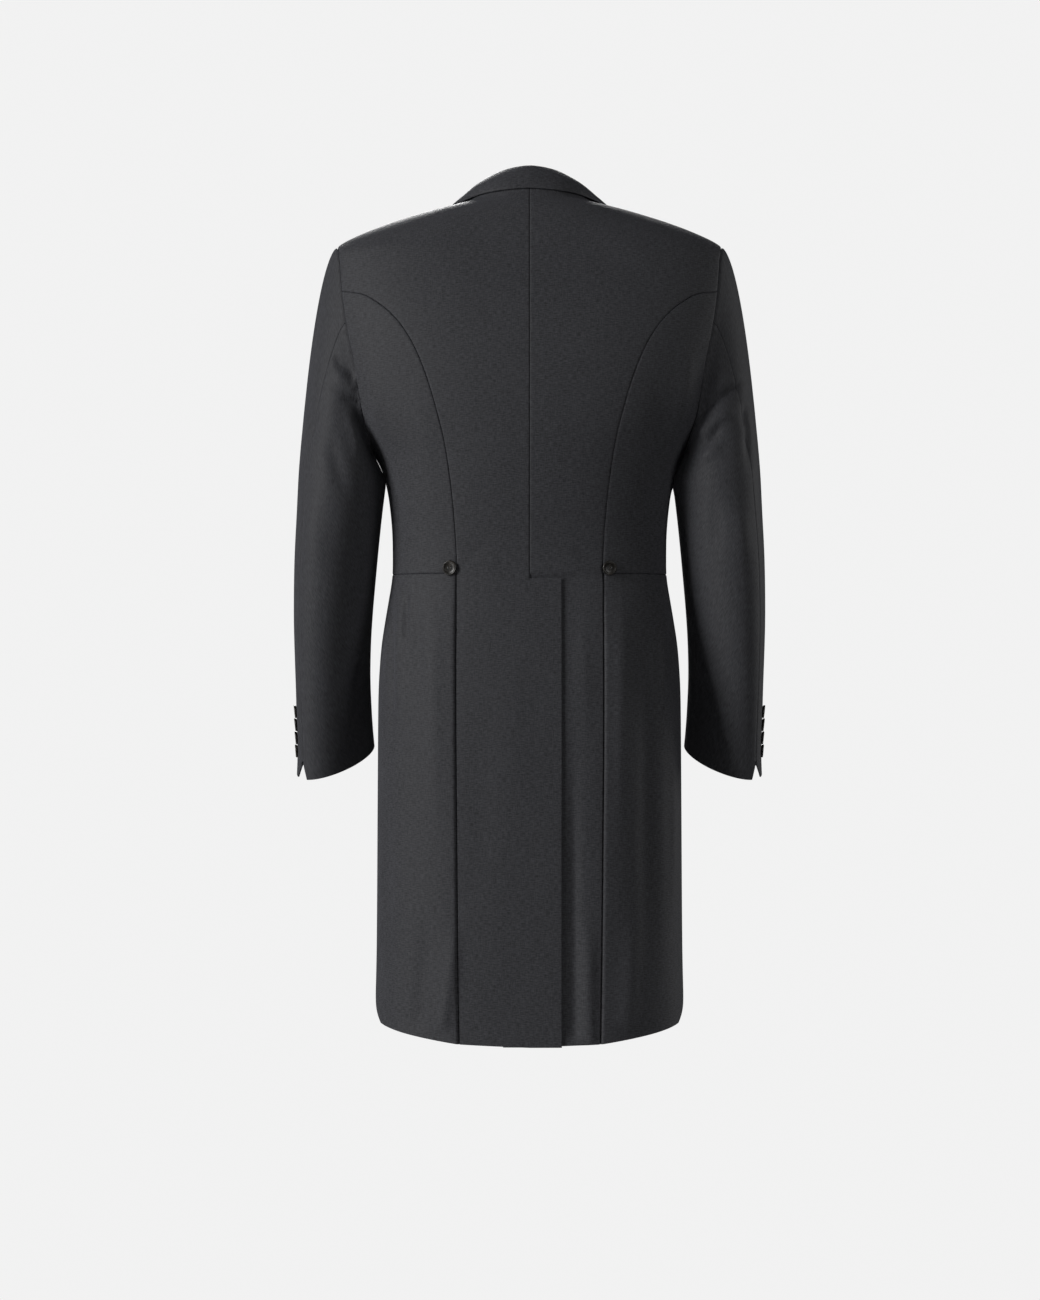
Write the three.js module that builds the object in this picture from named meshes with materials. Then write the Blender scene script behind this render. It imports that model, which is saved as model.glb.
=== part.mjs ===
import * as THREE from 'three';

// A man's morning coat, hollow, as worn: millimetres, +Z up, the front faces -Y, the wearer's left is +X.
// The origin is the middle of the neck, level with the points where the shoulder seams meet the collar.
// Every panel is a wall whose outer skin lies on one of two surfaces: the body of the coat or a sleeve.

// Driving dimensions
const CLOTH = 2;             // thickness of a made-up panel: cloth with its canvas and turnings
const SEAM_GAP = 0.3;        // clearance between two panels at a seam
const LAP = 2.6;             // step from one layer of cloth to the layer that it covers
const LAPEL_LIFT = 3;        // height of a lapel's face above the forepart
const LAPEL_TRIM = 4;        // clearance of the right lapel to the left front edge, and its least width
const WAIST = -427;          // height of the waist seam
const VENT_TOP = -432.5;     // height of the hook of the centre vent
const VENT_FLAP = 36;        // width of the vent flap past the centre back
const VENT_UNDERLAP = 30;    // width of the layer under it, past the centre back
const PLEAT_DEPTH = 24;      // width of the fold that the skirt makes under the back
const CHEST_LEVEL = -160;    // height at which the slope of the shoulders has run out of the panels
const UNDERARM_TURN = 97;    // degrees round from the centre back where the underarm seam meets the waist
const FRONT_OVERLAP = 18;    // width of the front edge past the centre front at the button
const ROLL_START = -375;     // height at which the lapel starts to roll
const BICEPS = -325;         // height at which the sleeve hangs free of the armhole
const SIDE_LINE = 90;        // degrees round from the centre back of the side of the body

// Where the two front edges lap, the left half steps out over the right: near the middle and low down
const FRONT_STEP = { near: 90, across: 50, below: -200, down: 90, turn: 120 };
// Where the right back dips under the flap of the vent: past its edge and below its hook
const VENT_STEP = { past: 19, across: 16, above: 26, down: 22, hook: 0.6 };

// The body: half width at the side line, depth behind and ahead of it, squareness of the ring
const BODY = [
  { z: 18, width: 64, back: 58, front: 32, power: 2.3 },
  { z: 12, width: 68, back: 61, front: 36, power: 2.3 },
  { z: 4, width: 72, back: 65, front: 40, power: 2.3 },
  { z: -0.5, width: 88, back: 67, front: 43, power: 2.3 },
  { z: -8, width: 118, back: 70.5, front: 49, power: 2.3 },
  { z: -20.5, width: 160, back: 74, front: 56, power: 2.3 },
  { z: -31.5, width: 190, back: 78, front: 62, power: 2.3 },
  { z: -43, width: 215, back: 81.5, front: 69, power: 2.3 },
  { z: -47.6, width: 222, back: 83, front: 72, power: 2.3 },
  { z: -53, width: 230, back: 85, front: 75, power: 2.3 },
  { z: -62, width: 234.5, back: 88, front: 80, power: 2.3 },
  { z: -80, width: 236.5, back: 94, front: 91, power: 2.3 },
  { z: -101, width: 236.5, back: 101, front: 102, power: 2.3 },
  { z: -125, width: 235, back: 108, front: 113, power: 2.3 },
  { z: -150, width: 231.5, back: 113, front: 122, power: 2.3 },
  { z: -175, width: 226, back: 116.5, front: 129, power: 2.3 },
  { z: -200, width: 220, back: 118, front: 134, power: 2.3 },
  { z: -225, width: 212, back: 118.5, front: 137, power: 2.3 },
  { z: -250, width: 201.5, back: 117, front: 140, power: 2.3 },
  { z: -275, width: 185, back: 114.5, front: 141, power: 2.3 },
  { z: -290, width: 175, back: 112, front: 141, power: 2.3 },
  { z: -317, width: 167, back: 106.5, front: 140, power: 2.3 },
  { z: -350, width: 161.5, back: 100, front: 138, power: 2.3 },
  { z: -388, width: 158.6, back: 92, front: 135, power: 2.3 },
  { z: -425, width: 158.4, back: 88, front: 134, power: 2.35 },
  { z: -454, width: 162.6, back: 91, front: 135, power: 2.4 },
  { z: -480, width: 167, back: 96, front: 137, power: 2.4 },
  { z: -515, width: 172, back: 102.5, front: 139, power: 2.45 },
  { z: -570, width: 175, back: 109, front: 141, power: 2.5 },
  { z: -650, width: 175.6, back: 113, front: 143, power: 2.55 },
  { z: -850, width: 176.8, back: 115.5, front: 144, power: 2.6 },
  { z: -980, width: 180, back: 116, front: 144, power: 2.6 },
];

// The top edge seen from behind: the neck seam, then the shoulder seam from x = 72 to the tip
const SHOULDER_LINE = [
  { x: -60, z: 12 },
  { x: 0, z: 18 },
  { x: 28, z: 16.4 },
  { x: 50, z: 12 },
  { x: 72, z: 4 },
  { x: 88, z: -0.5 },
  { x: 118, z: -8 },
  { x: 160, z: -20.5 },
  { x: 190, z: -31.5 },
  { x: 215, z: -43 },
  { x: 222, z: -47.6 },
];
const NECK_COLUMNS = [0, 28, 50, 64, 72];
const SHOULDER_COLUMNS = [72, 88, 106, 126, 146, 168, 194, 222];

// The armhole: degrees round the sleeve from the shoulder tip, and the seam's distance from the middle
const ARMHOLE = [
  { turn: 0, z: -47.6, behind: 222, ahead: 222 },
  { turn: 15, z: -52, behind: 221, ahead: 220 },
  { turn: 30, z: -69, behind: 218.5, ahead: 216.5 },
  { turn: 48, z: -104, behind: 215.5, ahead: 210.5 },
  { turn: 68, z: -141, behind: 210.3, ahead: 202.8 },
  { turn: 88, z: -178, behind: 202.8, ahead: 196 },
  { turn: 110, z: -216, behind: 196.3, ahead: 192 },
  { turn: 133, z: -252, behind: 188.8, ahead: 187 },
  { turn: 155, z: -274, behind: 181.8, ahead: 181 },
  { turn: 168, z: -281, behind: 180.5, ahead: 180.3 },
  { turn: 180, z: -285, behind: 178.3, ahead: 178.3 },
];
const BACK_CORNER = 3;       // row of the armhole table where the curved back seam starts
const UNDERARM_CORNER = 10;  // row of the armhole table where the underarm seam starts

// The curved back seam, from the armhole to the waist: distance from the centre back
const BACK_SEAM = [
  { x: 215.5, z: -104 },
  { x: 193, z: -108.5 },
  { x: 170.5, z: -121.5 },
  { x: 149.5, z: -141.5 },
  { x: 132, z: -168.5 },
  { x: 118, z: -201.5 },
  { x: 106, z: -240.5 },
  { x: 96.2, z: -281 },
  { x: 89.6, z: -325.5 },
  { x: 85.5, z: -367.5 },
  { x: 83.5, z: -400 },
  { x: 82.7, z: WAIST },
];

// The pleat seam below it, with the skirt's front edge on the same rows
const SKIRT = [
  { pleatX: 82.7, pleatZ: WAIST, frontTurn: null, frontZ: WAIST },
  { pleatX: 82.7, pleatZ: -437, frontTurn: 176, frontZ: -436 },
  { pleatX: 82.7, pleatZ: -470, frontTurn: 165, frontZ: -464 },
  { pleatX: 82.8, pleatZ: -513, frontTurn: 152, frontZ: -505 },
  { pleatX: 82.7, pleatZ: -567, frontTurn: 139, frontZ: -561 },
  { pleatX: 82.3, pleatZ: -645, frontTurn: 126, frontZ: -635 },
  { pleatX: 81.5, pleatZ: -732, frontTurn: 114, frontZ: -716 },
  { pleatX: 80.7, pleatZ: -819, frontTurn: 103, frontZ: -798 },
  { pleatX: 79.8, pleatZ: -892, frontTurn: 92, frontZ: -868 },
  { pleatX: 79.2, pleatZ: -931, frontTurn: 79, frontZ: -917 },
  { pleatX: 78.7, pleatZ: -957, frontTurn: 65, frontZ: -940 },
];
const SKIRT_COLUMNS = 8;     // strips from the pleat to the front edge
const PLEAT_EDGE = 0.4;      // how far the folded edge shows past the back's edge
const PLEAT_TURN = 5;        // width over which the fold comes up level with the back
const LAP_COLUMN = 0.918;    // share of the skirt's width that lies clear of the lap at the front
const HEM_DROP = 3;          // how much lower the hem is at the centre back than at the pleat

// The neck edge of a forepart, from the shoulder seam to the gorge
const NECK_EDGE = [
  { x: 72, z: 4 },
  { x: 69, z: -9 },
  { x: 64, z: -24 },
  { x: 54, z: -45 },
];
const UNDERARM_SEAM = [-310, -345, -385, WAIST];
const SIDE_BODY_COLUMNS = 7;
const SIDE_BODY_POINT = { ahead: 0.12, behind: 0.18 };   // how far its sharp top corner is blunted
const FOREPART_LEVELS = 6;   // rows over which a forepart's columns turn from upright to following the side
const FRONT_EDGE = [-386, -405, WAIST];

// A lapel: the height of the roll line and the outer edge on the same rows
const LAPEL = [
  { roll: -45, x: 134, z: -42 },
  { roll: -90, x: 129, z: -92 },
  { roll: -135, x: 119.5, z: -140 },
  { roll: -180, x: 107, z: -186 },
  { roll: -225, x: 91.5, z: -232 },
  { roll: -270, x: 73, z: -277 },
  { roll: -310, x: 53, z: -316 },
  { roll: -345, x: 28, z: -349 },
  { roll: -372, x: -8, z: -374 },
];
const GORGE = [
  { x: 54, z: -45 },
  { x: 76, z: -55.5 },
  { x: 98, z: -66 },
  { x: 116, z: -54 },
  { x: 134, z: -42 },
];

// The hanging sleeve: middle and half sizes of its ring, how far the ring is tipped towards the cuff and
// skewed, with its outer side back and its inner side forward
const SLEEVE = [
  { z: -325, x: 217.4, y: 2, wide: 50.3, deep: 69, tip: 0, skew: 0.12, hindarm: 41 },
  { z: -360, x: 220.3, y: 2, wide: 48.9, deep: 68, tip: 0.08, skew: 0.18, hindarm: 38.5 },
  { z: -400, x: 223.4, y: 0.5, wide: 47.8, deep: 66.5, tip: 0.2, skew: 0.25, hindarm: 36.5 },
  { z: -440, x: 225.8, y: -3, wide: 46.4, deep: 65, tip: 0.35, skew: 0.31, hindarm: 35.5 },
  { z: -480, x: 227.7, y: -8, wide: 44.7, deep: 63, tip: 0.5, skew: 0.36, hindarm: 35 },
  { z: -520, x: 228.6, y: -15, wide: 43, deep: 60, tip: 0.65, skew: 0.4, hindarm: 35 },
  { z: -560, x: 228.8, y: -24, wide: 42.1, deep: 56.5, tip: 0.8, skew: 0.43, hindarm: 35.5 },
  { z: -600, x: 228, y: -34, wide: 42.3, deep: 53, tip: 0.92, skew: 0.45, hindarm: 36 },
  { z: -624.5, x: 227.5, y: -41, wide: 43, deep: 51.3, tip: 0.97, skew: 0.46, hindarm: 36 },
  { z: -643, x: 227.3, y: -46, wide: 44.3, deep: 50, tip: 1, skew: 0.46, hindarm: 36 },
];
const CUFF_TIP = { side: -14.5, back: -16 };   // drop of the cuff's outer and back points below its middle
const CROWN = [0, 0.12, 0.27, 0.45, 0.65, 0.83];   // rows between the armhole and the free ring
const CROWN_START = { top: 25, side: 16, bottom: 9 };   // reach of the sleeve's first turn at the armhole
const UNDERARM_BEND = 85;    // degrees by which the sleeve turns away from the body under the arm
const UNDERARM_RANGE = { from: -0.1, over: 0.75 };   // cosines of the turns over which that bend comes in
const UNDERARM_CLEARANCE = 0.6;   // extra distance from the body that goes with the bend
const CROWN_END = 0.36;      // share of the drop over which the crown runs straight into the sleeve
const FOREARM_TURN = -120;   // degrees of the forearm seam, ahead, on the hanging sleeve
const FOREARM_START = -133;  // the same at the armhole
const HINDARM_TURN = 68;     // degrees of the hindarm seam at the armhole, behind
const CUFF_SLIT = { top: -18, under: 10 };   // degrees that the open hindarm seam's sides stand back at the cuff

// Buttons
const WAIST_BUTTON = { diameter: 17, thickness: 3.6, x: 90, z: -421 };
const FRONT_BUTTON = { diameter: 20, thickness: 3.8, z: -398 };
const CUFF_BUTTON = {
  diameter: 14.9,
  thickness: 3,
  pitch: 15.25,
  top: -586,
  count: 4,
  inset: 29,
  clearance: 0.8,
};
const BUTTON_CLEARANCE = 0.4;
const BUTTON_SIDES = 16;
// Half a button's section, as shares of its radius and thickness: flat back, raised rim, dished middle
const BUTTON_PROFILE = [
  { radius: 0, height: 0 },
  { radius: 0.72, height: 0 },
  { radius: 1, height: 0.4 },
  { radius: 1, height: 0.75 },
  { radius: 0.88, height: 1 },
  { radius: 0.72, height: 1 },
  { radius: 0.6, height: 0.7 },
  { radius: 0, height: 0.7 },
];

const COLLAR_WALL = 1.8;
const COLLAR_FOLD = 4.2;     // thickness of the two layers at the fold
const COLLAR_REST = 4.2;     // height of the leaf's face where it lies on the coat
const COLLAR_SEAM = 0.8;     // clearance of the collar's foot above the neck edge
const COLLAR_FOOT = { crotch: 0.6, stand: 0.3 };   // where the leaf meets the stand, and the stand's hollow
// Half the collar from the centre back: the neck seam, the fold, the middle of the leaf and its edge.
// Rows up to the ridge of the shoulder lie behind it, and the row of -1 is row 1 seen in a mirror.
const COLLAR_RIDGE = 4;
const COLLAR_STEP = 0.5;
const COLLAR = [
  { row: -1, neckX: -28, neckZ: 16.4, foldX: -25.5, foldY: 38, foldZ: 38 },
  { row: 0, neckX: 0, neckZ: 18, foldX: 0, foldY: 44, foldZ: 41 },
  { row: 1, neckX: 28, neckZ: 16.4, foldX: 25.5, foldY: 38, foldZ: 38 },
  { row: 2, neckX: 50, neckZ: 12, foldX: 45, foldY: 24.5, foldZ: 31.7 },
  { row: 3, neckX: 64, neckZ: 7.6, foldX: 54.5, foldY: 12, foldZ: 26.7 },
  { row: COLLAR_RIDGE, neckX: 72, neckZ: 4, foldX: 59.5, foldY: -2, foldZ: 20.7 },
  { row: 5, neckX: 69, neckZ: -9, foldX: 60.5, foldY: -24, foldZ: 9.5 },
  { row: 6, neckX: 64, neckZ: -24, foldX: 58.5, foldY: -50.5, foldZ: -9 },
];
const COLLAR_LEAF = [
  { row: -1, middleX: -30.5, middleY: 51.5, middleZ: 26.5, edgeX: -33, edgeZ: 9.3 },
  { row: 0, middleX: 0, middleY: 57, middleZ: 29, edgeX: 0, edgeZ: 11.3 },
  { row: 1, middleX: 30.5, middleY: 51.5, middleZ: 26.5, edgeX: 33, edgeZ: 9.3 },
  { row: 2, middleX: 54.5, middleY: 38.5, middleZ: 21.5, edgeX: 54, edgeZ: 6.6 },
  { row: 3, middleX: 67.5, middleY: 21, middleZ: 17.5, edgeX: 71, edgeZ: 2.4 },
  { row: COLLAR_RIDGE, middleX: 75, middleY: 0, middleZ: 13.5, edgeX: 89, edgeZ: -0.8 },
  { row: 5, middleX: 80.2, middleY: -37, middleZ: 0.3, edgeX: 96, edgeZ: -12 },
  { row: 6, middleX: 82.6, middleY: -58.1, middleZ: -21.9, edgeX: 105, edgeZ: -31 },
];
// Its last section, along the gorge
const COLLAR_CORNER = [
  { x: 54, z: -43, lift: 4.6 },
  { x: 65, z: -49.5 },
  { x: 76, z: -54.7 },
  { x: 98, z: -65 },
  { x: 108, z: -53 },
];

const CHARCOAL = { color: 0x35353a, roughness: 0.85, metalness: 0 };
const HORN = { color: 0x1b1916, roughness: 0.35, metalness: 0 };

const DEGREE = Math.PI / 180;

function mix(from, to, share) {
  return from + (to - from) * share;
}

function clamp(value, low = 0, high = 1) {
  return Math.min(high, Math.max(low, value));
}

function ease(value) {
  const share = clamp(value);
  return share * share * (3 - 2 * share);
}

// A smooth curve through one column of a table, which never swings past the rows it joins
function through(table, key, column) {
  const rows = [...table].sort((first, second) => first[key] - second[key]);
  const at = rows.map((row) => row[key]);
  const value = rows.map((row) => row[column]);
  const slope = at.slice(1).map((next, i) => (value[i + 1] - value[i]) / (next - at[i]));
  const tangent = at.map((_, i) => {
    const before = slope[Math.max(i - 1, 0)];
    const after = slope[Math.min(i, slope.length - 1)];
    return before * after <= 0 ? 0 : (2 * before * after) / (before + after);
  });
  return (place) => {
    const last = at.length - 1;
    if (place <= at[0]) {
      return value[0] + slope[0] * (place - at[0]);
    }
    if (place >= at[last]) {
      return value[last] + slope[last - 1] * (place - at[last]);
    }
    const i = at.findIndex((next, index) => place >= next && place < at[index + 1]);
    const span = at[i + 1] - at[i];
    const t = (place - at[i]) / span;
    const near = value[i] * (1 + 2 * t) * (1 - t) ** 2 + tangent[i] * span * t * (1 - t) ** 2;
    const far = value[i + 1] * t * t * (3 - 2 * t) + tangent[i + 1] * span * t * t * (t - 1);
    return near + far;
  };
}

const bodyAt = {};
for (const column of ['width', 'back', 'front', 'power']) {
  bodyAt[column] = through(BODY, 'z', column);
}
const shoulderLine = through(SHOULDER_LINE, 'x', 'z');

// Degrees round the body from the centre back, for a distance x from the middle
function turnOf(x, z, behind) {
  const power = bodyAt.power(z);
  const across = clamp(x / bodyAt.width(z), -1, 1);
  const along = (1 - Math.abs(across) ** power) ** (1 / power);
  const turn = Math.atan2(across, behind ? along : -along) / DEGREE;
  return !behind && turn < 0 ? turn + 360 : turn;
}

function bodyPoint(turn, z) {
  const power = bodyAt.power(z);
  const across = Math.sin(turn * DEGREE);
  const along = Math.cos(turn * DEGREE);
  const reach = (Math.abs(across) ** power + Math.abs(along) ** power) ** (-1 / power);
  const depth = along > 0 ? bodyAt.back(z) : bodyAt.front(z);
  return new THREE.Vector3(bodyAt.width(z) * reach * across, depth * reach * along, z);
}

function bodyNormal(turn, z) {
  const round = bodyPoint(turn + 1, z).sub(bodyPoint(turn - 1, z));
  const up = bodyPoint(turn, z + 0.6).sub(bodyPoint(turn, z - 0.6));
  return up.cross(round).normalize();
}

// A place on the body with its outward direction, moved out by lift
function onBody(turn, z, lift = 0) {
  const normal = bodyNormal(turn, z);
  return { point: bodyPoint(turn, z).addScaledVector(normal, lift), normal };
}

// The armhole's rows as places, from the tip down the back (side 1) or down the front (side -1)
function armholePlace(row, side) {
  const { z } = ARMHOLE[row];
  const x = side > 0 ? ARMHOLE[row].behind : ARMHOLE[row].ahead;
  const onSideLine = row === 0 || row === UNDERARM_CORNER;
  return { turn: onSideLine ? SIDE_LINE : turnOf(x, z, side > 0), z };
}

function seamPlace({ x, z }, behind = true) {
  return { turn: turnOf(x, z, behind), z };
}

function underarmPlaces() {
  const top = armholePlace(UNDERARM_CORNER, -1);
  const turnAt = (z) => mix(UNDERARM_TURN, top.turn, (z - WAIST) / (top.z - WAIST));
  return UNDERARM_SEAM.map((z) => ({ turn: turnAt(z), z }));
}

// Moves the edge of a grid inwards by half a seam gap, square to the edge
function inset(grid) {
  const rows = grid.length;
  const columns = grid[0].length;
  const shifts = grid.map((row) => row.map(() => new THREE.Vector3()));
  const push = (r, c, alongFrom, alongTo, inner) => {
    const along = alongTo.point.clone().sub(alongFrom.point);
    const square = grid[r][c].normal.clone().cross(along).normalize();
    const inward = inner.point.clone().sub(grid[r][c].point);
    shifts[r][c].addScaledVector(square, Math.sign(square.dot(inward)) * SEAM_GAP / 2);
  };
  for (let c = 0; c < columns; c++) {
    const left = Math.max(c - 1, 0);
    const right = Math.min(c + 1, columns - 1);
    push(0, c, grid[0][left], grid[0][right], grid[1][c]);
    push(rows - 1, c, grid[rows - 1][left], grid[rows - 1][right], grid[rows - 2][c]);
  }
  for (let r = 0; r < rows; r++) {
    const above = Math.max(r - 1, 0);
    const below = Math.min(r + 1, rows - 1);
    push(r, 0, grid[above][0], grid[below][0], grid[r][1]);
    push(r, columns - 1, grid[above][columns - 1], grid[below][columns - 1], grid[r][columns - 2]);
  }
  return grid.map((row, r) => row.map(({ point, normal }, c) => {
    return { point: point.clone().add(shifts[r][c]), normal };
  }));
}

// A wall of cloth: the grid is its outer skin, the inner skin lies one thickness behind it
function wallGeometry(grid, thickness = CLOTH) {
  const rows = grid.length;
  const columns = grid[0].length;
  const positions = [];
  for (const skin of [0, thickness]) {
    for (const row of grid) {
      for (const { point, normal } of row) {
        positions.push(...point.clone().addScaledVector(normal, -skin).toArray());
      }
    }
  }
  const outer = (r, c) => r * columns + c;
  const inner = (r, c) => rows * columns + outer(r, c);
  const triangles = [];
  const quad = (a, b, c, d) => triangles.push(a, b, c, a, c, d);
  for (let r = 0; r < rows - 1; r++) {
    for (let c = 0; c < columns - 1; c++) {
      quad(outer(r, c), outer(r + 1, c), outer(r + 1, c + 1), outer(r, c + 1));
      quad(inner(r, c), inner(r, c + 1), inner(r + 1, c + 1), inner(r + 1, c));
    }
  }
  for (let c = 0; c < columns - 1; c++) {
    quad(outer(0, c), outer(0, c + 1), inner(0, c + 1), inner(0, c));
    quad(outer(rows - 1, c + 1), outer(rows - 1, c), inner(rows - 1, c), inner(rows - 1, c + 1));
  }
  for (let r = 0; r < rows - 1; r++) {
    quad(outer(r + 1, 0), outer(r, 0), inner(r, 0), inner(r + 1, 0));
    const last = columns - 1;
    quad(outer(r, last), outer(r + 1, last), inner(r + 1, last), inner(r, last));
  }
  const geometry = new THREE.BufferGeometry();
  geometry.setAttribute('position', new THREE.Float32BufferAttribute(positions, 3));
  geometry.setIndex(triangles);
  return facingOut(geometry);
}

// Turns every triangle round if the closed shape is inside out
function facingOut(geometry) {
  const position = geometry.attributes.position;
  const index = geometry.index.array;
  const corners = [new THREE.Vector3(), new THREE.Vector3(), new THREE.Vector3()];
  let volume = 0;
  for (let i = 0; i < index.length; i += 3) {
    corners.forEach((corner, k) => corner.fromBufferAttribute(position, index[i + k]));
    volume += corners[0].dot(corners[1].clone().cross(corners[2]));
  }
  if (volume < 0) {
    for (let i = 0; i < index.length; i += 3) {
      [index[i + 1], index[i + 2]] = [index[i + 2], index[i + 1]];
    }
  }
  geometry.computeVertexNormals();
  return geometry;
}

// The coat's right half is the left half seen in a mirror
function mirrored(geometry) {
  const copy = geometry.clone().applyMatrix4(new THREE.Matrix4().makeScale(-1, 1, 1));
  return facingOut(copy);
}

function mesh(name, geometry, finish) {
  const piece = new THREE.Mesh(geometry, new THREE.MeshStandardMaterial(finish));
  piece.name = name;
  return piece;
}

// Heights along a row that leans with the shoulder line near the top and is level at the chest
function rowHeight(inner, outer, share, lean) {
  const x = mix(inner.x, outer.x, share);
  const chord = mix(shoulderLine(inner.x), shoulderLine(outer.x), share);
  return mix(inner.z, outer.z, share) + lean * (shoulderLine(x) - chord);
}

// How much of the shoulder's slope is left on the row that ends at this point: 1 on the seam, 0 at the chest
function leanAt({ x, z }) {
  return clamp((z - CHEST_LEVEL) / (shoulderLine(x) - CHEST_LEVEL));
}

function xOf({ turn, z }) {
  return bodyPoint(turn, z).x;
}

// Back panel, neck to hem. The flap (over) laps over the underlap (under) below the hook of the vent
function backGrid(over) {
  const tip = SHOULDER_COLUMNS.at(-1);
  const shares = [...NECK_COLUMNS, ...SHOULDER_COLUMNS.slice(1)].map((x) => x / tip);
  const armhole = ARMHOLE.slice(0, BACK_CORNER).map(({ behind, z }) => ({ x: behind, z }));
  const vent = over ? -VENT_FLAP : -VENT_UNDERLAP;
  const rows = [
    ...[...armhole, ...BACK_SEAM].map((end) => ({ end, start: 0 })),
    { end: { x: SKIRT[0].pleatX, z: VENT_TOP }, start: 0 },
    { end: { x: SKIRT[0].pleatX, z: VENT_TOP - VENT_STEP.hook }, start: vent },
    ...SKIRT.slice(1).map(({ pleatX, pleatZ }) => ({ end: { x: pleatX, z: pleatZ }, start: vent })),
  ];
  return rows.map(({ end, start }, r) => {
    const lean = leanAt(end);
    const drop = r === rows.length - 1 ? HEM_DROP : 0;
    const centre = lean > 0 ? mix(CHEST_LEVEL, shoulderLine(0), lean) : end.z;
    return shares.map((share) => {
      const x = mix(start, end.x, share);
      const z = rowHeight({ x: 0, z: centre }, end, clamp(x / end.x), lean) - drop * (1 - share);
      const turn = r === 0 && x >= SHOULDER_COLUMNS[0] ? SIDE_LINE : turnOf(x, z, true);
      return onBody(turn, z, over ? 0 : underlapLift(x, z));
    });
  });
}

// The right back dips under the flap of the vent, and eases back level beside and above it
function underlapLift(x, z) {
  const beside = ease((VENT_FLAP + VENT_STEP.past - x) / VENT_STEP.across);
  const below = ease((VENT_TOP + VENT_STEP.above - z) / VENT_STEP.down);
  return -LAP * beside * below;
}

function sideBodyGrid() {
  const armhole = [];
  for (let row = BACK_CORNER; row <= UNDERARM_CORNER; row++) {
    armhole.push(armholePlace(row, 1));
  }
  const ahead = [...armhole, ...underarmPlaces()];
  const behind = BACK_SEAM.map((place) => seamPlace(place));
  const blunt = (places, share) => ({
    turn: mix(places[0].turn, places[1].turn, share),
    z: mix(places[0].z, places[1].z, share),
  });
  ahead[0] = blunt(ahead, SIDE_BODY_POINT.ahead);
  behind[0] = blunt(behind, SIDE_BODY_POINT.behind);
  return behind.map((from, r) => {
    const to = ahead[r];
    return Array.from({ length: SIDE_BODY_COLUMNS }, (_, c) => {
      const share = c / (SIDE_BODY_COLUMNS - 1);
      return onBody(mix(from.turn, to.turn, share), mix(from.z, to.z, share));
    });
  });
}

// Where the front edge runs: down the roll line to the button, then straight to the waist
function frontEdgeX(z) {
  const gorge = NECK_EDGE.at(-1);
  if (z < ROLL_START) {
    return -FRONT_OVERLAP;
  }
  return mix(gorge.x, CLOTH - FRONT_OVERLAP, (gorge.z - z) / (gorge.z - ROLL_START));
}

// Near the centre front the left forepart stands out over the right one
function frontLift(x, z, over) {
  const near = ease((FRONT_STEP.near - x) / FRONT_STEP.across);
  const low = ease((FRONT_STEP.below - z) / FRONT_STEP.down);
  const side = over ? 1 : -1;
  return side * (LAP / 2) * near * low;
}

function forepartGrid(over) {
  const [neck] = SHOULDER_COLUMNS;
  const shares = SHOULDER_COLUMNS.map((x) => (x - neck) / (SHOULDER_COLUMNS.at(-1) - neck));
  const armhole = ARMHOLE.slice(0, UNDERARM_CORNER + 1).map(({ ahead, z }) => ({ x: ahead, z }));
  const seam = underarmPlaces().map((place) => ({ x: xOf(place), z: place.z, turn: place.turn }));
  const outer = [...armhole, ...seam];
  const rolls = [...LAPEL.slice(1).map(({ roll }) => roll), ...FRONT_EDGE];
  const inner = [...NECK_EDGE, ...rolls.map((z) => ({ x: frontEdgeX(z), z }))];
  return inner.map((from, r) => {
    const to = outer[r];
    const lean = leanAt(to);
    const fromTurn = r === 0 ? SIDE_LINE : turnOf(from.x, from.z, false);
    const onSideLine = r === 0 || r === UNDERARM_CORNER;
    const toTurn = to.turn ?? (onSideLine ? SIDE_LINE : turnOf(to.x, to.z, false));
    const round = clamp(r / FOREPART_LEVELS);
    return shares.map((share) => {
      const z = rowHeight(from, to, share, lean);
      const x = mix(from.x, to.x, share);
      const byWidth = r === 0 ? SIDE_LINE : turnOf(x, z, false);
      const byTurn = mix(fromTurn, toTurn, share);
      const edge = share === 0 || share === 1;
      const turn = edge ? byTurn : mix(byWidth, byTurn, round);
      return onBody(turn, z, frontLift(bodyPoint(turn, z).x, z, over));
    });
  });
}

// The skirt: its rear edge dives under the back as a pleat, its front edge is cut away
function skirtGrid(over) {
  const under = [-PLEAT_DEPTH, -PLEAT_DEPTH / 2, PLEAT_EDGE, PLEAT_TURN];
  return SKIRT.map(({ pleatX, pleatZ, frontTurn, frontZ }) => {
    const seamTurn = turnOf(pleatX, pleatZ, true);
    const to = frontTurn ?? turnOf(-FRONT_OVERLAP, frontZ, false);
    const fold = under.map((step) => {
      const lift = step < PLEAT_TURN ? -LAP : 0;
      return onBody(turnOf(pleatX + step, pleatZ, true), pleatZ, lift);
    });
    const start = turnOf(pleatX + PLEAT_TURN, pleatZ, true);
    const panel = Array.from({ length: SKIRT_COLUMNS }, (_, c) => {
      const last = SKIRT_COLUMNS - 1;
      const share = c < last ? LAP_COLUMN * (c + 1) / last : 1;
      const turn = mix(start, to, share);
      const z = mix(pleatZ, frontZ, (turn - seamTurn) / (to - seamTurn));
      const lift = turn > FRONT_STEP.turn ? frontLift(bodyPoint(turn, z).x, z, over) : 0;
      return onBody(turn, z, lift);
    });
    return [...fold, ...panel];
  });
}

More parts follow.
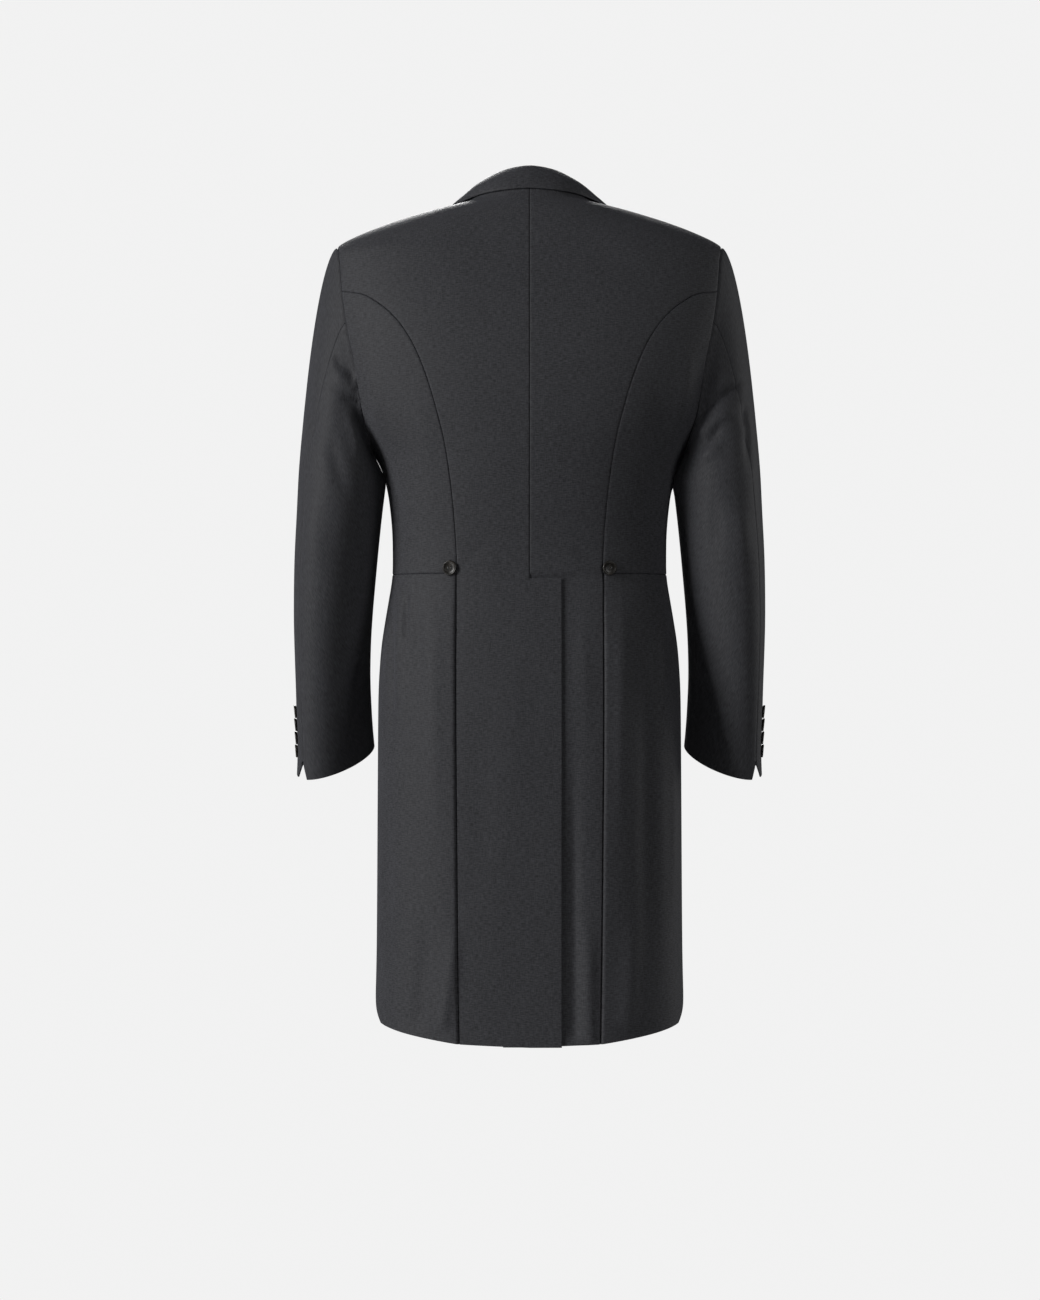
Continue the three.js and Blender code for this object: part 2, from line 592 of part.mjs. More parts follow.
function lapelGrid(over) {
  const columns = GORGE.length;
  return LAPEL.map(({ roll, x, z }, r) => {
    const edge = frontEdgeX(roll);
    const from = { x: over ? edge : Math.max(edge, LAPEL_TRIM - edge), z: roll };
    const to = { x: Math.max(x, from.x + LAPEL_TRIM), z };
    return GORGE.map((corner, c) => {
      const share = c / (columns - 1);
      const place = r === 0 ? corner : { x: mix(from.x, to.x, share), z: mix(from.z, to.z, share) };
      const turn = turnOf(place.x, place.z, false);
      return onBody(turn, place.z, LAPEL_LIFT + frontLift(place.x, place.z, over));
    });
  });
}

// Rows of the armhole table in order round the sleeve, from the forearm seam and back to it
const ARMHOLE_LOOP_ROWS = [];
for (let row = ARMHOLE.length - 1; row > 0; row--) {
  ARMHOLE_LOOP_ROWS.push({ turn: -ARMHOLE[row].turn, side: -1, row });
}
for (let row = 0; row < ARMHOLE.length - 1; row++) {
  ARMHOLE_LOOP_ROWS.push({ turn: ARMHOLE[row].turn, side: 1, row });
}
while (ARMHOLE_LOOP_ROWS[0].turn !== FOREARM_START) {
  const step = ARMHOLE_LOOP_ROWS.shift();
  ARMHOLE_LOOP_ROWS.push({ ...step, turn: step.turn + 360 });
}
ARMHOLE_LOOP_ROWS.push({ ...ARMHOLE_LOOP_ROWS[0], turn: FOREARM_START + 360 });

// The hanging sleeve, a tipped ellipse at every height
const sleeveAt = {};
for (const column of ['x', 'y', 'wide', 'deep', 'tip', 'skew', 'hindarm']) {
  sleeveAt[column] = through(SLEEVE, 'z', column);
}

function hangingPoint(turn, level) {
  const across = Math.cos(turn * DEGREE);
  const back = Math.sin(turn * DEGREE);
  const drop = sleeveAt.tip(level) * (CUFF_TIP.side * across + CUFF_TIP.back * back);
  return new THREE.Vector3(
    sleeveAt.x(level) + sleeveAt.wide(level) * across,
    sleeveAt.y(level) + sleeveAt.deep(level) * back + sleeveAt.skew(level) * sleeveAt.wide(level) * across,
    level + drop,
  );
}

// The armhole as a loop of places, from the forearm seam over the shoulder and back round to it
const HINDARM_STEP = ARMHOLE_LOOP_ROWS.findIndex(({ turn }) => turn === HINDARM_TURN);
const ARMHOLE_LOOP = ARMHOLE_LOOP_ROWS.map(({ turn, side, row }) => {
  const place = armholePlace(row, side);
  return { turn, ...onBody(place.turn, place.z) };
});
ARMHOLE_LOOP.forEach((step, i) => {
  const last = ARMHOLE_LOOP.length - 1;
  const before = ARMHOLE_LOOP[i === 0 ? last - 1 : i - 1].point;
  const after = ARMHOLE_LOOP[i === last ? 1 : i + 1].point;
  const along = after.clone().sub(before);
  const height = Math.cos(step.turn * DEGREE);
  const far = height > 0 ? CROWN_START.top : CROWN_START.bottom;
  const flat = along.cross(step.normal).normalize();
  const bend = UNDERARM_BEND * ease((UNDERARM_RANGE.from - height) / UNDERARM_RANGE.over) * DEGREE;
  const out = step.normal.clone();
  step.leave = flat.clone().multiplyScalar(Math.cos(bend)).addScaledVector(out, Math.sin(bend));
  step.point.addScaledVector(out, UNDERARM_CLEARANCE * Math.sin(bend));
  step.normal = out.multiplyScalar(Math.cos(bend)).addScaledVector(flat, -Math.sin(bend));
  step.reach = mix(CROWN_START.side, far, height ** 2);
});

// Where a step of the armhole comes out on the hanging sleeve, whose seams turn as they go down
function hangingTurn(turn, level) {
  const hindarm = sleeveAt.hindarm(level);
  if (turn <= HINDARM_TURN) {
    return mix(FOREARM_TURN, hindarm, (turn - FOREARM_START) / (HINDARM_TURN - FOREARM_START));
  }
  return mix(hindarm, FOREARM_TURN + 360, (turn - HINDARM_TURN) / (FOREARM_START + 360 - HINDARM_TURN));
}

// A point of the crown: a curve from the armhole into the hanging sleeve
function crownPoint(step, share) {
  const turn = hangingTurn(step.turn, BICEPS);
  const end = hangingPoint(turn, BICEPS);
  const up = end.clone().sub(hangingPoint(turn, BICEPS - 8)).normalize();
  const drop = step.point.distanceTo(end);
  const curve = new THREE.CubicBezierCurve3(
    step.point,
    step.point.clone().addScaledVector(step.leave, step.reach),
    end.clone().addScaledVector(up, drop * CROWN_END),
    end,
  );
  return curve.getPoint(share);
}

// The whole sleeve as rows of places: first the crown, then the hanging rings
function sleeveRows() {
  const rows = CROWN.map((share) => ARMHOLE_LOOP.map((step) => crownPoint(step, share)));
  for (const { z } of SLEEVE) {
    rows.push(ARMHOLE_LOOP.map(({ turn }) => hangingPoint(hangingTurn(turn, z), z)));
  }
  const last = ARMHOLE_LOOP.length - 1;
  return rows.map((row, r) => row.map((point, i) => {
    const round = row[i === last ? 1 : i + 1].clone().sub(row[i === 0 ? last - 1 : i - 1]);
    const down = rows[Math.min(r + 1, rows.length - 1)][i].clone().sub(rows[Math.max(r - 1, 0)][i]);
    const normal = r === 0 ? ARMHOLE_LOOP[i].normal : round.cross(down).normalize().negate();
    return { point, normal };
  }));
}

// Half a sleeve; at the cuff the hindarm seam is left open
function sleeveGrid(fromStep, toStep, hindarmEnd, slit) {
  const grid = sleeveRows().map((row) => row.slice(fromStep, toStep + 1));
  const cuff = SLEEVE.at(-1);
  const edge = grid.at(-1).at(hindarmEnd);
  edge.point = hangingPoint(cuff.hindarm + slit, cuff.z);
  return grid;
}

function topSleeveGrid() {
  return sleeveGrid(0, HINDARM_STEP, -1, CUFF_SLIT.top);
}

function underSleeveGrid() {
  return sleeveGrid(HINDARM_STEP, ARMHOLE_LOOP.length - 1, 0, CUFF_SLIT.under);
}

// A button: a dished disc with a raised rim, lying square to the given direction
function buttonGeometry({ diameter, thickness }, point, normal) {
  const radius = diameter / 2;
  const profile = BUTTON_PROFILE.map((row) => new THREE.Vector2(radius * row.radius, thickness * row.height));
  const geometry = new THREE.LatheGeometry(profile, BUTTON_SIDES);
  const turn = new THREE.Quaternion().setFromUnitVectors(new THREE.Vector3(0, 1, 0), normal);
  return geometry.applyQuaternion(turn).translate(...point.toArray());
}

function waistButtonGeometry() {
  const { x, z } = WAIST_BUTTON;
  const place = onBody(turnOf(x, z, true), z);
  const point = place.point.addScaledVector(place.normal, BUTTON_CLEARANCE);
  return buttonGeometry(WAIST_BUTTON, point, place.normal);
}

function frontButtonGeometry() {
  const place = onBody(180, FRONT_BUTTON.z, LAP / 2 + BUTTON_CLEARANCE);
  return buttonGeometry(FRONT_BUTTON, place.point, place.normal);
}

// Cuff buttons in a row beside the hindarm seam, edge to edge
function cuffButtonGeometry(index) {
  const height = CUFF_BUTTON.top - index * CUFF_BUTTON.pitch;
  const turnAt = (level) => sleeveAt.hindarm(level) - CUFF_BUTTON.inset;
  const level = 2 * height - hangingPoint(turnAt(height), height).z;
  const turn = turnAt(level);
  const point = hangingPoint(turn, level);
  const round = hangingPoint(turn + 2, level).sub(hangingPoint(turn - 2, level));
  const down = hangingPoint(turn, level - 3).sub(hangingPoint(turn, level + 3));
  const normal = down.cross(round).normalize();
  return buttonGeometry(CUFF_BUTTON, point.addScaledVector(normal, CUFF_BUTTON.clearance), normal);
}

// Five points along a bend through three
function bent(fold, middle, edge) {
  return [0, 0.25, 0.5, 0.75, 1].map((share) => fold.clone()
    .multiplyScalar(2 * (share - 0.5) * (share - 1))
    .addScaledVector(middle, 4 * share * (1 - share))
    .addScaledVector(edge, 2 * share * (share - 0.5)));
}

// Collar sections from the centre back to the gorge: the place on the neck seam, and the leaf's face
function collarSections() {
  const line = (table, column) => through(table, 'row', column);
  const [neckX, neckZ, foldX, foldY, foldZ] = ['neckX', 'neckZ', 'foldX', 'foldY', 'foldZ']
    .map((column) => line(COLLAR, column));
  const [middleX, middleY, middleZ, edgeX, edgeZ] = ['middleX', 'middleY', 'middleZ', 'edgeX', 'edgeZ']
    .map((column) => line(COLLAR_LEAF, column));
  const turnAt = (row, x, z) => (row === COLLAR_RIDGE ? SIDE_LINE : turnOf(x, z, row < COLLAR_RIDGE));
  const sections = [];
  for (let row = 0; row <= COLLAR.at(-1).row; row += COLLAR_STEP) {
    const fold = new THREE.Vector3(foldX(row), foldY(row), foldZ(row));
    const middle = new THREE.Vector3(middleX(row), middleY(row), middleZ(row));
    const edge = onBody(turnAt(row, edgeX(row), edgeZ(row)), edgeZ(row), COLLAR_REST).point;
    const seam = onBody(turnAt(row, neckX(row), neckZ(row)), neckZ(row));
    sections.push({ seam, leaf: bent(fold, middle, edge) });
  }
  const gorge = NECK_EDGE.at(-1);
  const corner = COLLAR_CORNER.map(({ x, z, lift = COLLAR_REST }) => {
    return onBody(turnOf(x, z, false), z, lift).point;
  });
  return [...sections, { seam: onBody(turnOf(gorge.x, gorge.z, false), gorge.z), leaf: corner }];
}

// The collar as a closed strip: each section runs over the leaf's face and back, then down and up the stand
function collarGeometry() {
  const half = collarSections();
  const across = (vector) => new THREE.Vector3(-vector.x, vector.y, vector.z);
  const loops = half.map((section, i) => {
    const before = i === 0 ? across(half[1].leaf[2]) : half[i - 1].leaf[2];
    const after = half[Math.min(i + 1, half.length - 1)].leaf[2];
    const seamBefore = i === 0 ? across(half[1].seam.point) : half[i - 1].seam.point;
    const seamAfter = half[Math.min(i + 1, half.length - 1)].seam.point;
    return collarLoop(section, after.clone().sub(before), seamAfter.clone().sub(seamBefore));
  });
  const right = loops.slice(1).reverse().map((loop) => loop.map(across));
  return loftGeometry([...right, ...loops]);
}

function collarLoop({ seam, leaf }, alongLeaf, alongSeam) {
  const outAt = (k) => {
    const step = leaf[Math.min(k + 1, 4)].clone().sub(leaf[Math.max(k - 1, 0)]);
    return alongLeaf.clone().cross(step).normalize();
  };
  const back = leaf.map((point, k) => point.clone().addScaledVector(outAt(k), -COLLAR_WALL));
  const up = alongSeam.clone().cross(seam.normal).normalize();
  const footOut = seam.point.clone().addScaledVector(up, COLLAR_SEAM);
  const footIn = footOut.clone().addScaledVector(seam.normal, -COLLAR_WALL);
  const top = leaf[0].clone().addScaledVector(outAt(0), -COLLAR_FOLD);
  const crotch = leaf[0].clone().lerp(leaf[1], COLLAR_FOOT.crotch).addScaledVector(outAt(1), -COLLAR_WALL);
  const standOut = top.clone().addScaledVector(outAt(0), COLLAR_WALL).lerp(footOut, COLLAR_FOOT.stand);
  return [...leaf, ...back.slice(1).reverse(), crotch, standOut, footOut, footIn, top];
}

// Triangles over one end of the strip, by the order of points in a section
const COLLAR_END = [
  [3, 4, 5], [3, 5, 6], [2, 3, 6], [2, 6, 7], [1, 2, 7], [1, 7, 8],
  [0, 1, 8], [0, 8, 9], [0, 9, 13], [9, 10, 13], [10, 11, 12], [10, 12, 13],
];

// Joins closed sections of equal length into one solid
function loftGeometry(loops) {
  const count = loops[0].length;
  const triangles = [];
  for (let i = 0; i < loops.length - 1; i++) {
    for (let k = 0; k < count; k++) {
      const next = (k + 1) % count;
      const a = i * count + k;
      const b = i * count + next;
      const c = b + count;
      const d = a + count;
      if (i < (loops.length - 1) / 2) {
        triangles.push(a, b, d, b, c, d);
      } else {
        triangles.push(a, b, c, a, c, d);
      }
    }
  }
  for (const face of COLLAR_END) {
    triangles.push(...face.toReversed());
    triangles.push(...face.map((k) => (loops.length - 1) * count + k));
  }
  const geometry = new THREE.BufferGeometry();
  const positions = loops.flat().flatMap((point) => point.toArray());
  geometry.setAttribute('position', new THREE.Float32BufferAttribute(positions, 3));
  geometry.setIndex(triangles);
  return facingOut(geometry);
}

const parts = [];

const suiting = (name, geometry) => mesh(name, geometry, CHARCOAL);
const button = (name, geometry) => mesh(name, geometry, HORN);

const wall = (grid) => wallGeometry(inset(grid));

parts.push(suiting('back_left', wall(backGrid(true))));
parts.push(suiting('back_right', mirrored(wall(backGrid(false)))));
parts.push(suiting('side_body_left', wall(sideBodyGrid())));
parts.push(suiting('side_body_right', mirrored(wall(sideBodyGrid()))));
parts.push(suiting('forepart_left', wall(forepartGrid(true))));
parts.push(suiting('forepart_right', mirrored(wall(forepartGrid(false)))));
parts.push(suiting('skirt_left', wall(skirtGrid(true))));
parts.push(suiting('skirt_right', mirrored(wall(skirtGrid(false)))));
parts.push(suiting('collar', collarGeometry()));
parts.push(suiting('lapel_left', wall(lapelGrid(true))));
parts.push(suiting('lapel_right', mirrored(wall(lapelGrid(false)))));
parts.push(suiting('top_sleeve_left', wall(topSleeveGrid())));
parts.push(suiting('top_sleeve_right', mirrored(wall(topSleeveGrid()))));
parts.push(suiting('under_sleeve_left', wall(underSleeveGrid())));
parts.push(suiting('under_sleeve_right', mirrored(wall(underSleeveGrid()))));
parts.push(button('waist_button_left', waistButtonGeometry()));
parts.push(button('waist_button_right', mirrored(waistButtonGeometry())));
parts.push(button('front_button', frontButtonGeometry()));
for (let index = 0; index < CUFF_BUTTON.count; index++) {
  parts.push(button(`cuff_button_left_${index + 1}`, cuffButtonGeometry(index)));
  parts.push(button(`cuff_button_right_${index + 1}`, mirrored(cuffButtonGeometry(index))));
}

const coat = new THREE.Group();
coat.add(...parts);

export default coat;
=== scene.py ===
# %% [markdown]
# # A morning coat, seen from behind
#
# A morning coat is a fitted body in black or charcoal worsted, with a waist seam, a long skirt cut away
# at the front, a vent down the centre back and two buttons over the ends of the curved back seams.
# This one stands filled out, as if worn, with nobody in it. The cloth is modelled, not simulated: a
# tailored coat holds the shape that its cutter gave it, so every panel lies on one smooth figure, and
# what drape there is comes as a few soft folds, given one by one.

import math

import bpy
import numpy as np
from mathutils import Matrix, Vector


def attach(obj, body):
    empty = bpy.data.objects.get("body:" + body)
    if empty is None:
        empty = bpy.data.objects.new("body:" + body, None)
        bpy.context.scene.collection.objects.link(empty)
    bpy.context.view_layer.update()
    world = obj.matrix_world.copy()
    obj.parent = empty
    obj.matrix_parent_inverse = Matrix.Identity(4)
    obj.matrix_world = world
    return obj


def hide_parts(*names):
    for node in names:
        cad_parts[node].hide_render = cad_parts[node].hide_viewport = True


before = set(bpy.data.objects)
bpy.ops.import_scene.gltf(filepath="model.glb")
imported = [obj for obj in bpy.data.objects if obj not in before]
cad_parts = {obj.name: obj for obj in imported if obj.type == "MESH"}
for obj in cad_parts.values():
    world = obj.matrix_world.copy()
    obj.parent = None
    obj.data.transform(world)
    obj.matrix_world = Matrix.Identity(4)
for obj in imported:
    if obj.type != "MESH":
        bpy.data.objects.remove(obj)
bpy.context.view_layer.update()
MM = 0.001
FLIP = np.array([-1, 1, 1])            # from the wearer's left side to the right
STEP = 3.6      # distance between the points of the cloth, in millimetres

# %% [markdown]
# ## Smooth lines through short tables
#
# A cutter works from a few measures and joins them with a curved ruler. The same is done here: each
# table holds a few rows in millimetres, and `curve` joins them without ever swinging past a row, which
# a plain spline would do where the rows are close.

# %% Tables and curves
def columns(names, *rows):
    """A table with one array for each named column."""
    return {name: np.array(values, float) for name, values in zip(names.split(), zip(*rows))}


def mix(start, end, share):
    return start + (end - start) * share


def ease(value):
    share = np.clip(value, 0, 1)
    return share * share * (3 - 2 * share)


def curve(at, value):
    """A smooth line through points, in order along it."""
    at, value = np.asarray(at, float), np.asarray(value, float)
    if at[0] > at[-1]:
        at, value = at[::-1], value[::-1]
    slope = np.diff(value) / np.diff(at)
    before, after = np.r_[slope[:1], slope], np.r_[slope, slope[-1:]]
    same_way = before * after > 0
    tangent = np.where(same_way, 2 * before * after / np.where(same_way, before + after, 1), 0)

    def line(place):
        place = np.asarray(place, float)
        i = np.clip(np.searchsorted(at, place, side="right") - 1, 0, len(at) - 2)
        span = at[i + 1] - at[i]
        t = (place - at[i]) / span
        near = value[i] * (1 + 2 * t) * (1 - t) ** 2 + tangent[i] * span * t * (1 - t) ** 2
        far = value[i + 1] * t * t * (3 - 2 * t) + tangent[i + 1] * span * t * t * (t - 1)
        low = value[0] + slope[0] * (place - at[0])
        high = value[-1] + slope[-1] * (place - at[-1])
        return np.where(place <= at[0], low, np.where(place >= at[-1], high, near + far))

    return line


def path(*stops):
    """A smooth path through points, asked for by row: 1.5 is halfway from row 1 to row 2."""
    stops = np.array(stops, float)
    distance = np.r_[0, np.cumsum(np.linalg.norm(np.diff(stops, axis=0), axis=1))]
    lines = [curve(distance, column) for column in stops.T]

    def at(row):
        where = np.interp(row, np.arange(len(stops)), distance)
        return np.stack([line(where) for line in lines], -1)

    return at


# %% [markdown]
# ## The figure inside the coat
#
# The coat's outside is a stack of rings. Each ring is a rounded oblong: its half width, its depth behind
# and ahead of the side line, and how square its corners are. A place on the coat is then two numbers,
# degrees round from the centre back and the height, and the surface gives the point in space.

# %% The rings of the body
WAIST, VENT_TOP, HEM = -427, -432.5, -957
SIDE = 90
BODY = columns(
    "z width back front power",
    (18, 64, 58, 32, 2.3), (12, 68, 61, 36, 2.3), (4, 72, 65, 40, 2.3), (-0.5, 88, 67, 43, 2.3),
    (-8, 118, 70.5, 49, 2.3), (-20.5, 160, 74, 56, 2.3), (-31.5, 190, 78, 62, 2.3),
    (-43, 215, 81.5, 69, 2.3), (-47.6, 222, 83, 72, 2.3), (-53, 230, 85, 75, 2.3),
    (-62, 234.5, 88, 80, 2.3), (-80, 236.5, 94, 91, 2.3),
    (-101, 236.5, 101, 102, 2.3), (-125, 235, 108, 113, 2.3), (-150, 231.5, 113, 122, 2.3),
    (-175, 226, 116.5, 129, 2.3), (-200, 220, 118, 134, 2.3), (-225, 212, 118.5, 137, 2.3),
    (-250, 201.5, 117, 140, 2.3), (-275, 185, 114.5, 141, 2.3), (-290, 175, 112, 141, 2.3),
    (-317, 167, 106.5, 140, 2.3), (-350, 161.5, 100, 138, 2.3), (-388, 158.6, 92, 135, 2.3),
    (-425, 158.4, 88, 134, 2.35), (-454, 162.6, 91, 135, 2.4), (-480, 167, 96, 137, 2.4),
    (-515, 172, 102.5, 139, 2.45), (-570, 175, 109, 141, 2.5), (-650, 175.6, 113, 143, 2.55),
    (-850, 176.8, 115.5, 144, 2.6), (-980, 180, 116, 144, 2.6),
)


def softened(at, value, reach, below):
    """The same line with its corners rubbed down over reach, below a height."""
    fine = np.arange(at.min() - 60, at.max() + 61, 1.0)
    raw = curve(at, value)(fine)
    offsets = np.arange(-3 * reach, 3 * reach + 1)
    weight = np.exp(-((offsets / reach) ** 2) / 2)
    soft = np.convolve(np.pad(raw, 3 * reach, mode="edge"), weight / weight.sum(), "valid")
    kept = mix(raw, soft, ease((below - fine) / 40))
    return curve(fine[::4], kept[::4])


SOFT_BELOW = -70
ring = {name: curve(BODY["z"], BODY[name]) for name in ("width", "back", "front", "power")}
for name in ("width", "back", "front"):
    rough = ring[name]
    smooth = softened(BODY["z"], BODY[name], 9, SOFT_BELOW)
    ring[name] = lambda z, rough=rough, smooth=smooth: np.where(
        np.asarray(z) > SOFT_BELOW, rough(z), smooth(z))


def surface(turn, z):
    """The point of the coat's outside at a turn from the centre back and a height."""
    turn, z = np.broadcast_arrays(np.asarray(turn, float), np.asarray(z, float))
    power = ring["power"](z)
    across, along = np.sin(np.radians(turn)), np.cos(np.radians(turn))
    reach = (abs(across) ** power + abs(along) ** power) ** (-1 / power)
    depth = np.where(along > 0, ring["back"](z), ring["front"](z))
    return np.stack([ring["width"](z) * reach * across, depth * reach * along, z], -1)


def unit(vector):
    return vector / np.maximum(np.linalg.norm(vector, axis=-1, keepdims=True), 1e-9)


def outward(turn, z):
    """The direction straight out of the cloth there."""
    round_it = surface(turn + 1, z) - surface(turn - 1, z)
    up = surface(turn, z + 1.5) - surface(turn, z - 1.5)
    return unit(np.cross(up, round_it))


def turn_of(x, z, behind):
    """Degrees round from the centre back, for a distance from the middle."""
    power = ring["power"](z)
    across = np.clip(x / ring["width"](z), -1, 1)
    along = (1 - abs(across) ** power) ** (1 / power)
    turn = np.degrees(np.arctan2(across, along if behind else -along))
    return turn if behind else np.where(turn < 0, turn + 360, turn)


print("figure", surface(0, WAIST).round(1), surface(SIDE, -100).round(1), surface(180, -300).round(1))

# %% [markdown]
# ## Seam lines
#
# Two panels meet along a seam, so the seam is one line that both panels ask for. The shoulder seam
# follows the ridge of the figure; the armhole goes round it like a tilted loop; the curved back seam
# leaves the armhole a hand's width under the shoulder and sweeps down to the waist button.

# %% Seam tables
NECK_X, NECK_Z, NECK_TOP = 72, 4, 18    # the neck point on the shoulder, and the centre back
ridge_z = np.linspace(-66, NECK_Z, 1401)
ridge_x = ring["width"](ridge_z)
neck_line = curve([-60, 0, 28, 50, NECK_X], [12, NECK_TOP, 16.4, 12, NECK_Z])


def shoulder_line(x):
    """Height of the top edge of the back: the neck seam, then the shoulder seam."""
    on_ridge = np.interp(x, ridge_x[::-1], ridge_z[::-1])
    return np.where(np.asarray(x) >= NECK_X, on_ridge, neck_line(x))


TIP_X, TIP_Z = 222, -47.6               # the shoulder's tip
ARMHOLE_LOW = -285
ARMHOLE = columns(
    "turn z behind ahead",
    (0, TIP_Z, TIP_X, TIP_X), (15, -52, 221, 220), (30, -69, 218.5, 216.5), (48, -104, 215.5, 210.5),
    (68, -141, 210.3, 202.8), (88, -178, 202.8, 196), (110, -216, 196.3, 192), (133, -252, 188.8, 187),
    (155, -274, 181.8, 181), (168, -281, 180.5, 180.3), (180, ARMHOLE_LOW, 178.3, 178.3),
)
CORNER = 48                             # the step round the armhole where the curved back seam starts


def armhole_rows():
    rows = []
    for turn, z, behind, ahead in zip(*ARMHOLE.values()):
        for side, x in ((1, behind), (-1, ahead)):
            place = SIDE if turn in (0, 180) else float(turn_of(x, z, side > 0))
            rows.append((side * turn, place, z))
    rows = sorted(set(rows))
    wrapped = [(turn + shift, place, z) for shift in (-360, 0, 360) for turn, place, z in rows]
    return np.array(sorted({round(row[0], 3): row for row in wrapped}.values()))


loop = armhole_rows()
armhole_turn = curve(loop[:, 0], loop[:, 1])
armhole_z = curve(loop[:, 0], loop[:, 2])

PLEAT_X = 82.7                          # where the curved back seam and the pleat meet the waist seam
BACK_SEAM = path(
    (215.5, -104), (193, -108.5), (170.5, -121.5), (149.5, -141.5), (132, -168.5), (118, -201.5),
    (106, -240.5), (96.2, -281), (89.6, -325.5), (85.5, -367.5), (83.5, -400), (PLEAT_X, WAIST),
)
BACK_ROWS = 11
PLEAT = path(
    (PLEAT_X, WAIST), (PLEAT_X, -437), (82.7, -470), (82.8, -513), (82.7, -567), (82.3, -645),
    (81.5, -732), (80.7, -819), (79.8, -892), (79.2, -931), (78.7, HEM),
)
PLEAT_ROWS = 10
SKIRT_FRONT = path(
    (188, WAIST), (176, -436), (165, -464), (152, -505), (139, -561), (126, -635),
    (114, -716), (103, -798), (92, -868), (79, -917), (65, -940),
)
print("armhole", armhole_turn([-90, 0, 90]).round(1), armhole_z([-90, 0, 90, 180]).round(1))

# %% [markdown]
# ## From places to a panel of cloth
#
# A panel is a grid of places. The grid is respaced so that its points lie evenly, with a few extra lines
# close to each edge: cloth rolls down into a seam within two or three millimetres, and without points
# there the roll could not show.

# %% Respacing a grid
NEAR = np.array([0, 0.5, 1.2, 2.2, 3.8])


def ticks(length, count, near_start, near_end):
    """Distances along a line: close together by its ends, even between them."""
    scale = min(1, length / 16)
    start = NEAR * scale if near_start else np.array([0.0])
    end = length - NEAR[::-1] * scale if near_end else np.array([length])
    middle = np.linspace(start[-1], end[0], count + 1)[1:-1]
    return np.r_[start, middle, end]


def lengths(points):
    step = np.linalg.norm(np.diff(points, axis=0), axis=1)
    return np.r_[0, np.cumsum(step)]


def respaced(grid, to_points, near_start=True, near_end=True):
    """Each row of a grid with its places spread anew. A place is any set of numbers."""
    rows = []
    distance = [lengths(to_points(row)) for row in grid]
    count = max(2, int(np.ceil(max(d[-1] for d in distance) / STEP)))
    for row, along in zip(grid, distance):
        where = ticks(along[-1], count, near_start, near_end)
        rows.append(np.stack([np.interp(where, along, column) for column in row.T], -1))
    return np.array(rows)


def respaced_down(grid, to_points, stops=()):
    """The same down the columns, with some rows kept where they are."""
    edges = [0, *stops, len(grid) - 1]
    blocks = []
    for start, end in zip(edges, edges[1:]):
        block = grid[start:end + 1].transpose(1, 0, 2)
        made = respaced(block, to_points, start == 0, end == len(grid) - 1).transpose(1, 0, 2)
        blocks.append(made if start == 0 else made[1:])
    return np.concatenate(blocks), np.cumsum([len(block) for block in blocks])[:-1] - 1


def on_body(places):
    """Points of the figure for places of turn and height."""
    return surface(places[..., 0], places[..., 1])


# %% [markdown]
# ## The length of thread from the centre back
#
# Worsted has its warp running up and down the coat and its weft running round it. A grid on the figure,
# with the distance travelled round each ring and up each side, gives every point its own thread count,
# and the weave in the material follows it.

# %% Cloth coordinates
def travelled(points, axis):
    """The distance along a grid of points from its start, down the rows or across the columns."""
    step = np.diff(points, axis=axis, prepend=points.take([0], axis))
    return np.cumsum(np.linalg.norm(step, axis=2), axis=axis)


chart_turn = np.arange(-40, 401, 2.0)
chart_z = np.r_[np.arange(-1000, -70, 8.0), np.arange(-70, 19, 1.0)]
chart = surface(chart_turn[None, :], chart_z[:, None])
chart_u, chart_v = travelled(chart, 1), travelled(chart, 0)
chart_u -= chart_u[:, chart_turn == 0]


def thread_count(turn, z):
    """Distances round and up the cloth, in metres."""
    c = np.clip(np.interp(turn, chart_turn, np.arange(len(chart_turn))), 0, len(chart_turn) - 1.001)
    r = np.clip(np.interp(z, chart_z, np.arange(len(chart_z))), 0, len(chart_z) - 1.001)
    ci, ri = c.astype(int), r.astype(int)
    cs, rs = c - ci, r - ri
    found = []
    for table in (chart_u, chart_v):
        top = mix(table[ri, ci], table[ri, ci + 1], cs)
        bottom = mix(table[ri + 1, ci], table[ri + 1, ci + 1], cs)
        found.append(mix(top, bottom, rs) * MM)
    return np.stack(found, -1)


# %% [markdown]
# ## Turning a grid into worked cloth
#
# The shell has an outer and an inner skin and a rounded rim, because a panel's free edge is cloth turned
# under and pressed. Normals come from the figure, so neighbours agree along a seam. Seams pull the cloth
# down by a millimetre or so, and folds push it in or out; both are found from the distance in space to
# their lines, so they run on over a seam into the next panel, as real ones do.

# %% Seam lines and folds as distances
CLOTH = 1.7
RIM = 0.42                              # how far a free edge is rounded
SEAM_REACH, FOLD_REACH = 3, 2.6         # in widths of the seam or fold
SEAMS = []
FOLDS = []


def near_line(points, line):
    """Distance from each point to a line of points, and how far along the line the nearest place is."""
    a, b = line[:-1], line[1:]
    along = b - a
    size = np.maximum((along ** 2).sum(1), 1e-9)
    best, share = np.full(len(points), 1e9), np.zeros(len(points))
    reach = np.r_[0, np.cumsum(np.sqrt(size))]
    for i in range(len(a)):
        t = np.clip(((points - a[i]) @ along[i]) / size[i], 0, 1)
        gap = np.linalg.norm(points - a[i] - t[:, None] * along[i], axis=1)
        closer = gap < best
        best = np.where(closer, gap, best)
        share = np.where(closer, (reach[i] + t * np.sqrt(size[i])) / reach[-1], share)
    return best, share


def seam(line, depth, width, mirrored=True):
    """A seam pressed in along a line, and along its mirror image unless it runs down the middle."""
    for each in (line, line * FLIP) if mirrored else (line,):
        SEAMS.append((each, depth, width))


